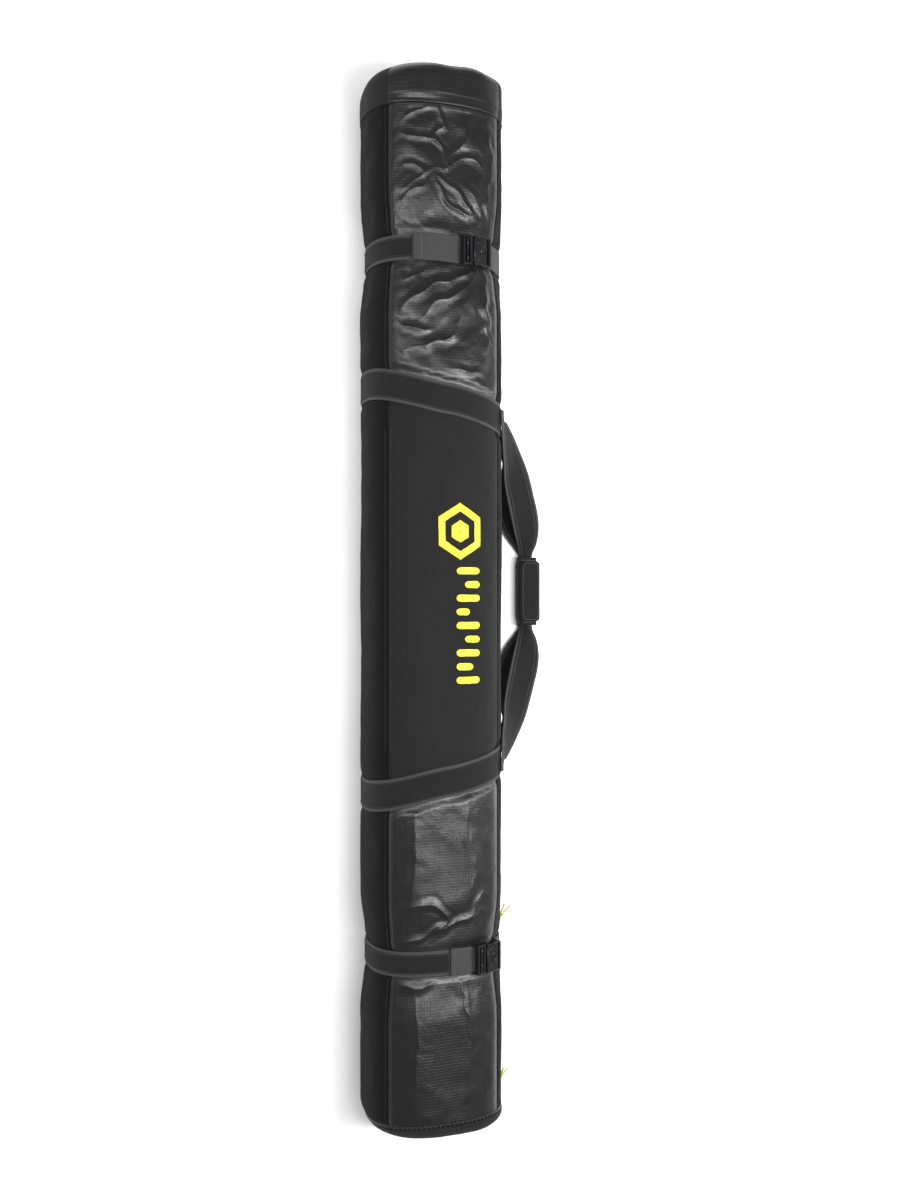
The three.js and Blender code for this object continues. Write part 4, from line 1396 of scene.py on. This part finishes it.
def make_grip_flap():
    """The wrap's overlapping half, held by touch tape, with bound edges."""
    half_x, half_y, radius = 0.0195, 0.0585, 0.007
    middle_x = GRIP_X + 0.0025
    rows, columns = 40, 16
    points, uvs = [], []
    for t in (2 * r / (rows - 1) - 1 for r in range(rows)):
        for s in (2 * c / (columns - 1) - 1 for c in range(columns)):
            corner = max(0.0, abs(t) * half_y - (half_y - radius))
            pull = radius - math.sqrt(max(radius ** 2 - corner ** 2, 0))
            x = s * (half_x - pull)
            y = t * half_y
            swell = 0.0006 + 0.0007 * noise.noise(Vector((x * 70, y * 40, 3.0)))
            z = 0.0322 + swell - 0.0013 * abs(s) ** 6
            points.append((middle_x + x, HANDLE_MIDDLE + y, z))
            uvs.append((x + 0.5, y + 0.5))
    flap = new_object("grip_flap_cloth", points, grid_faces(rows, columns), POLYESTER, uvs)
    thicken(flap, 0.0022, 0.0)
    soften(flap, 0.0008, 3)
    dress(flap, "grip_flap", "polyester", "grip_flap")
    stitch_flap(middle_x, half_x - 0.0035, half_y - 0.0035)
    make_flap_fold(middle_x - half_x, half_y - radius)


def stitch_flap(middle_x, half_x, half_y):
    """Stitches round the flap, inside its edge."""
    squareness = 0.28
    ring = []
    for turn in np.linspace(0, 2 * math.pi, 90):
        x = abs(math.cos(turn)) ** squareness * math.copysign(half_x, math.cos(turn))
        y = abs(math.sin(turn)) ** squareness * math.copysign(half_y, math.sin(turn))
        ring.append(np.array((middle_x + x, HANDLE_MIDDLE + y, 0.0340)))
    stitch_row("flap_stitches", ring, [(0, 0, 1)] * len(ring), GREY_THREAD, "grip_flap", 0.0032)


def make_flap_fold(hinge_x, half_y):
    """The fold of cloth along which the flap is sewn to the wrap."""
    rows = 30
    bend = smooth_path([(0.0050, 0.0294), (0.0012, 0.0292), (-0.0010, 0.0308), (0.0002, 0.0324),
                        (0.0032, 0.0328)], 13)
    points, uvs = [], []
    for y in np.linspace(-half_y, half_y, rows):
        for step, (out, z) in enumerate(bend):
            points.append((hinge_x + out, HANDLE_MIDDLE + y, z))
            uvs.append((step * 0.001 + 0.5, y + 0.5))
    fold = new_object("grip_flap_fold", points, grid_faces(rows, len(bend)), POLYESTER, uvs)
    thicken(fold, 0.0010, 0.0)
    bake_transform(fold)


def make_handle():
    for place, side in SIDES:
        for front in (True, False):
            make_root(place, side, front)
            make_loop(place, side, front)
    make_grip()


# --- zips ------------------------------------------------------------------------------------
TOOTH_PITCH = 0.0042
TOOTH_HALF_WIDTH = 0.0030
TOOTH_HEIGHT = 0.0011
TOOTH_SHIFT = 0.0007               # how far each tooth is set to its own side


def coil_teeth(name, points, outs, cad):
    """Interlocked coil teeth: a tape-wide ridge of small rounded bars, alternately offset."""
    points = np.array(points)
    outs = np.array(outs)
    run = arc_lengths(points)
    count = int(run[-1] / TOOTH_PITCH)
    vertices, faces = [], []
    for k in range(count):
        at = (k + 0.5) * TOOTH_PITCH
        spot = along_path(points, run, at)
        along = unit(along_path(points, run, at + 0.001) - spot)
        out = along_path(outs, run, at)
        out = unit(out - along * out.dot(along))
        side = np.cross(along, out)
        shift = TOOTH_SHIFT * (1 if k % 2 else -1)
        base = len(vertices)
        for width, height in ((-1.0, 0.0), (-0.72, 1.0), (0.72, 1.0), (1.0, 0.0)):
            for reach in (-0.36, 0.36):
                vertices.append(spot + side * (width * TOOTH_HALF_WIDTH + shift)
                                + out * (height * TOOTH_HEIGHT)
                                + along * (reach * TOOTH_PITCH * (1 - 0.25 * height)))
        for row in range(3):
            a = base + row * 2
            faces.append((a, a + 1, a + 3, a + 2))
        faces.append((base, base + 2, base + 4, base + 6))
        faces.append((base + 7, base + 5, base + 3, base + 1))
        faces.append((base + 6, base + 7, base + 1, base))
    teeth = new_object(name, vertices, faces, COIL, smooth=False)
    return dress(teeth, "bag", "zip", cad)


def make_zips():
    ys = np.linspace(float(wall_edge(0.0)) + 0.002, TOP_FOLD_Y - 0.004, 900)
    line = surface(ys, 0.0, recess(ys, 0.0) + 0.0006)
    coil_teeth("side_zip_teeth", line, [(1, 0, 0)] * len(ys), "zip_chain")
    angles = np.linspace(-66, 246, 400)
    line = surface(flap_edge(angles) + ZIP_LINE / 2, angles, 0.0007)
    coil_teeth("base_zip_teeth", line, outwards(line), "base_zip_chain")


# --- sliders, pulls and their cords ----------------------------------------------------------
CORD_DIAMETER = 0.003
CORD_OFFSETS = [(7, 20, 1), (3, 10, -1), (0, 1.5, -3), (2.5, -2, -0.5),
                (6, 2.5, -4), (14, 7.5, -7), (22, 12, -11)]
SLIDERS = {"main_zip": (-0.607, 1.0), "base_zip": (-0.909, 0.75)}
SLIDER_X = HALF_WIDTH + 0.0008


def rounded_slab(name, outline, low, high, bevel, material, place):
    """A plate from an outline in its own X and Y, rounded along its edges, moved by place."""
    mesh = bmesh.new()
    base = [mesh.verts.new((x, y, low)) for x, y in outline]
    face = mesh.faces.new(base)
    lifted = bmesh.ops.extrude_face_region(mesh, geom=[face])
    top = [v for v in lifted["geom"] if isinstance(v, bmesh.types.BMVert)]
    bmesh.ops.translate(mesh, verts=top, vec=(0, 0, high - low))
    bmesh.ops.recalc_face_normals(mesh, faces=mesh.faces)
    sharp = [e for e in mesh.edges if e.calc_face_angle(0) > math.radians(50)]
    bmesh.ops.bevel(mesh, geom=sharp, offset=bevel, segments=3, affect="EDGES", profile=0.5)
    bmesh.ops.transform(mesh, matrix=place, verts=mesh.verts)
    obj = object_from(mesh, name, material)
    obj.data.shade_smooth()
    obj.data.set_sharp_from_angle(angle=math.radians(40))
    return obj


def side_frame(x, y):
    """A frame on the zip side: its X runs along the zip, its Y across and its Z out of the bag."""
    return Matrix(((0, 0, 1, x), (1, 0, 0, y), (0, 1, 0, CENTRE_Z), (0, 0, 0, 1)))


def slider_outline():
    """The outline of a slider's plates: long, and waisted towards its narrow end."""
    outline = []
    for turn in np.linspace(0, 2 * math.pi, 40)[:-1]:
        along = 0.5 * (1 + math.cos(turn))
        half = 0.0068 - 0.0018 * math.sin(math.pi * along) ** 2 * (1 - along)
        outline.append((0.017 * along, half * abs(math.sin(turn)) ** 0.55
                        * math.copysign(1, math.sin(turn))))
    return outline


def make_slider(name, y, spread):
    """A slider of two plates on a core, a bail over it, a pull tab and its knotted cord."""
    place = side_frame(SLIDER_X, y)
    outline = slider_outline()
    lower = rounded_slab(f"{name}_slider_sole", outline, 0.0001, 0.0017, 0.0005, METAL, place)
    upper = rounded_slab(f"{name}_slider_roof", outline, 0.0031, 0.0047, 0.0006, METAL, place)
    wedge = [(0.0135, -0.0014), (0.0160, -0.0022), (0.0160, 0.0022), (0.0135, 0.0014)]
    core = rounded_slab(f"{name}_slider_core", wedge, 0.0016, 0.0032, 0.0002, METAL, place)
    arch = [place @ Vector((0.0085 + 0.0052 * math.cos(turn), 0,
                            0.0042 + 0.0026 * math.sin(turn) ** 0.7))
            for turn in np.linspace(0, math.pi, 18)]
    bail = tube(f"{name}_slider_bail", arch, 0.0008, METAL)
    body = f"{name}_slider"
    for piece in (lower, upper, core, bail):
        dress(piece, body, "metal")
    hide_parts(body)
    make_pull(name, y, spread)


def make_pull(name, y, spread):
    """The wire pull: a flattened ring with a bar across it, and the cord tied to it."""
    body = f"{name}_pull"
    place = side_frame(SLIDER_X + 0.0063, y + 0.0085)
    ring = [place @ Vector((0.0062 + 0.0058 * math.cos(turn), 0.0033 * math.sin(turn), 0.0008))
            for turn in np.linspace(0, 2 * math.pi, 33)[:-1]]
    dress(tube(f"{name}_pull_ring", ring, 0.0008, METAL, closed=True), body, "metal", body)
    across = [place @ Vector((0.0045, s, 0.0008)) for s in np.linspace(-0.003, 0.003, 5)]
    dress(tube(f"{name}_pull_bar", across, 0.0006, METAL), body, "metal")
    knot = np.array((SLIDER_X + 0.011, y + 0.018, CENTRE_Z - 0.003))
    make_cord(name, body, smooth_path([knot + np.array(o) * MM * spread for o in CORD_OFFSETS], 44))
    make_knot(name, body, knot, 0.85 + 0.15 * spread)


def make_cord(name, body, path):
    curve = bpy.data.curves.new(f"{name}_cord_curve", "CURVE")
    curve.dimensions = "3D"
    curve.bevel_depth = CORD_DIAMETER / 2
    curve.bevel_resolution = 4
    curve.use_fill_caps = True
    spline = curve.splines.new("POLY")
    spline.points.add(len(path) - 1)
    for point, spot in zip(spline.points, path):
        point.co = (*spot, 1)
    curve.materials.append(CORD)
    cord = add_object(f"{name}_pull_cord", curve)
    dress(cord, body, "cord", f"{name}_cord")


def make_knot(name, body, knot, size):
    """A little over two turns of cord wound round the pull."""
    turns = 4.4 * math.pi
    wrap = []
    for turn in np.linspace(0, turns, 60):
        wrap.append(knot + np.array((0.0022 * math.cos(turn) + 0.0006,
                                     -0.0020 + 0.0040 * turn / turns,
                                     0.0024 * math.sin(turn) - 0.0015)) * size)
    dress(tube(f"{name}_knot", wrap, 0.00125, CORD), body, "cord")


def make_sliders():
    for name, (y, spread) in SLIDERS.items():
        make_slider(name, y, spread)


# --- top end ---------------------------------------------------------------------------------
CAP_RINGS = 34
CAP_PACE = 1.9                     # the side band takes the first 1 / CAP_PACE of the rings


def cap_grid():
    """The top cap's rings: along its side band first, then in across its flat end."""
    middle = np.array([0.0, HALF_LENGTH - 0.0035, CENTRE_Z])
    rings = []
    for share in np.arange(CAP_RINGS) / (CAP_RINGS - 1):
        y = TOP_FOLD_Y + (HALF_LENGTH - TOP_FOLD_Y) * min(1.0, share * CAP_PACE)
        inset = max(0.0, share * CAP_PACE - 1.0) / (CAP_PACE - 1)
        ring = surface(min(y, HALF_LENGTH - 0.0004), ANGLES)
        if inset > 0:
            ring[:, 1] = HALF_LENGTH - 0.0008
            ring = ring + (middle - ring) * inset
        rings.append(ring)
    rings[0] = SKIN[-1]
    return np.array(rings)


def cap_relief(grid):
    """How far each point of the cap is pushed out: a double crease along the fold, and waves."""
    front = np.clip(np.sin(np.radians(ANGLES)), 0, 1) ** 0.5
    rises = []
    for share, ring in zip(np.arange(CAP_RINGS) / (CAP_RINGS - 1), grid):
        past = ring[:, 1] - TOP_FOLD_Y
        sag = np.array([noise.noise(Vector((p[0] * 11, 4.0, p[2] * 11))) for p in ring])
        waves = np.array([noise.noise(Vector((p[0] * 26, p[1] * 14, p[2] * 26))) for p in ring])
        crease = np.exp(-((past - 0.0035 - 0.003 * sag) / 0.0022) ** 2)
        crease += (0.7 + 0.8 * sag) * np.exp(-((past - 0.0125 + 0.008 * sag) / 0.0026) ** 2)
        rises.append(0.0022 * waves * smoothstep(0.0, 0.15, share)
                     - 0.0030 * crease * (0.35 + 0.65 * front))
    return np.array(rises)


def make_top_end():
    """The top closes in a rounded cap, with a double crease where it folds over."""
    end_row = int((CAP_RINGS - 1) / CAP_PACE)
    grid = cap_grid()
    normal = grid_normals(grid)
    normal[-6:] = [0, 1, 0]
    grid = grid + normal * cap_relief(grid)[..., None]
    grid[..., 1] = np.minimum(grid[..., 1], HALF_LENGTH + 0.002)
    grid[..., 2] = np.maximum(grid[..., 2], 0.0020)
    uvs = [(around, TOP_FOLD_Y + 0.003 * r) for r in range(CAP_RINGS) for around in AROUND]
    cap = new_object("top_end_cloth", grid.reshape(-1, 3),
                     grid_faces(CAP_RINGS, COLUMNS, wrap=True), TARPAULIN, uvs)
    cap.data.materials.append(POLYESTER)
    for polygon in cap.data.polygons:
        angle = ANGLES[min(v % COLUMNS for v in polygon.vertices)] % 360
        on_front = SEAM_ANGLE <= angle < 180 - SEAM_ANGLE or 180 + SEAM_ANGLE <= angle < 320
        on_side = min(polygon.vertices) // COLUMNS < end_row
        polygon.material_index = 0 if on_front and on_side else 1
    thicken(cap, PANEL_SHELL, -1.0)
    dress(cap, "bag", "tarpaulin", "top_end_panel")
    piping = tube("top_end_piping", grid[end_row] + [0, 0.0004, 0], 0.0017, FACING, closed=True)
    dress(piping, "bag", "facing")


# --- base flap -------------------------------------------------------------------------------
def make_base_flap():
    """The flap that closes the base: a padded disc with a zipped rim."""
    angles = np.linspace(-90, 270, 181)[:-1]
    edge = flap_edge(angles)
    middle = np.array([0, 0, CENTRE_Z])
    rings = []
    for share in np.linspace(0, 1, 10):
        y = edge - 0.0004 + (-HALF_LENGTH + 0.003 - edge) * share
        rings.append(surface(y, angles, 0.0004 + 0.0005 * share))
    last = rings[-1]
    for share in (0.02, 0.05, 0.1, 0.2, 0.4, 0.6, 0.8, 0.97):
        ring = last + (middle - last) * [share, 0, share]
        swell = 0.0022 * math.sin(math.pi * min(share * 1.3, 1)) ** 0.5
        ring[:, 1] = -HALF_LENGTH + 0.0028 - swell
        rings.append(ring)
    grid = np.array(rings)
    rows, columns = grid.shape[:2]
    grid[..., 1] += soft_dents(grid, 0.045, 0.0011) * smoothstep(0, 3, np.arange(rows))[:, None]
    grid[..., 2] = np.maximum(grid[..., 2], 0.0024)
    uvs = [(math.radians(a) * 0.11, r * 0.006) for r in range(rows) for a in angles]
    flap = new_object("base_flap_cloth", grid.reshape(-1, 3), grid_faces(rows, columns, wrap=True),
                      POLYESTER, uvs)
    thicken(flap, 0.0018, 1.0)
    dress(flap, "base_flap", "polyester", "base_flap_panel")
    cord_line = last + (middle - last) * [0.004, 0, 0.004]
    piping = tube("base_flap_piping", cord_line, 0.0019, FACING, closed=True)
    dress(piping, "base_flap", "facing")


# --- the print -------------------------------------------------------------------------------
PRINT_LIFT = 0.0014
HEXAGON = (0.018, 0.121, 0.050, 0.036)     # middle x and y, half-length and half-width
BARS = [                                   # middle y, low x, high x
    (0.052, 0.012, 0.052), (0.028, 0.026, 0.052), (0.004, 0.012, 0.052), (-0.020, 0.012, 0.034),
    (-0.044, 0.012, 0.052), (-0.068, 0.026, 0.052), (-0.092, 0.012, 0.052),
    (-0.116, 0.012, 0.040), (-0.140, 0.012, 0.052),
]
BAR_HALF = 0.0062


def draped(name, grid, wrap=False):
    """A printed patch from rows of (x, y) places, laid on the front of the skin."""
    rows, columns = len(grid), len(grid[0])
    points = [on_skin(y, angle_at_x(x), PRINT_LIFT) for row in grid for x, y in row]
    uvs = [(x + 0.5, y + 0.5) for row in grid for x, y in row]
    patch = new_object(name, points, grid_faces(rows, columns, wrap), INK, uvs)
    thicken(patch, 0.0002, 0.0)
    return dress(patch, "bag", "polyester")


def hexagon_ring(share, steps=14):
    """Points round a long hexagon, share of its full size."""
    x, y, half_length, half_width = HEXAGON
    corners = [(0, half_length), (half_width, half_length * 0.5), (half_width, -half_length * 0.5),
               (0, -half_length), (-half_width, -half_length * 0.5),
               (-half_width, half_length * 0.5)]
    ring = []
    for k, (ax, ay) in enumerate(corners):
        bx, by = corners[(k + 1) % 6]
        for step in range(steps):
            t = step / steps
            ring.append((x + share * (ax + (bx - ax) * t), y + share * (ay + (by - ay) * t)))
    return ring


def bar_grid(middle, low, high):
    """A bar across the bag with round ends."""
    grid = []
    for x in low + (high - low) * (0.5 - 0.5 * np.cos(np.linspace(0, math.pi, 26))):
        inset = max(0.0, BAR_HALF - min(x - low, high - x))
        half = math.sqrt(max(BAR_HALF ** 2 - inset ** 2, 1e-9))
        grid.append([(x, middle + half * t) for t in np.linspace(-1, 1, 7)])
    return grid


def make_print():
    draped("print_ring", [hexagon_ring(share) for share in (0.70, 0.8, 0.9, 1.0)], wrap=True)
    draped("print_middle", [hexagon_ring(share) for share in (0.02, 0.14, 0.27, 0.40)], wrap=True)
    for number, (middle, low, high) in enumerate(BARS):
        draped(f"print_bar_{number}", bar_grid(middle, low, high))


# --- seams -----------------------------------------------------------------------------------
STITCHED_SEAMS = [SEAM_ANGLE, 180 - SEAM_ANGLE, 180 + SEAM_ANGLE, 360 - SEAM_ANGLE]
SEAM_STITCH_LIFT = 0.0005
SEAM_STITCH_TURN = 3.4             # degrees round the bag from the seam to its stitches


def seam_pieces():
    """The stretches of a long seam that no strap or band covers."""
    stops = [float(wall_edge(90.0)) + 0.006, LOWER_STRAP_Y, HANDLE_MIDDLE - CARRY_Y,
             HANDLE_MIDDLE + CARRY_Y, UPPER_STRAP_Y, TOP_FOLD_Y - 0.004]
    gaps = [0, COMPRESSION / 2 + 0.004, WEBBING / 2 + 0.026, WEBBING / 2 + 0.026,
            COMPRESSION / 2 + 0.004, 0]
    return [(low + gap, high - next_gap) for low, high, gap, next_gap
            in zip(stops[:-1], stops[1:], gaps[:-1], gaps[1:])]


def make_seam_stitches():
    """A row of topstitching each side of every long seam."""
    for seam in STITCHED_SEAMS:
        for side in (-1, 1):
            angle = seam + side * SEAM_STITCH_TURN
            for number, (low, high) in enumerate(seam_pieces()):
                ys = np.linspace(low, high, max(4, int((high - low) / 0.006)))
                line = np.array([on_skin(y, angle, SEAM_STITCH_LIFT) for y in ys])
                stitch_row(f"seam_{seam:.0f}_{side}_{number}", line, outwards(line), THREAD, "bag")


# --- the whole scene -------------------------------------------------------------------------
def cover_the_rest():
    """Give every CAD node that stays a procedural finish."""
    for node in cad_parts.values():
        node.data.materials.clear()
        node.data.materials.append(POLYESTER)


make_camera()
make_studio()
make_panels()
make_bands()
make_straps()
make_handle()
make_zips()
make_sliders()
make_top_end()
make_base_flap()
make_print()
make_seam_stitches()
cover_the_rest()
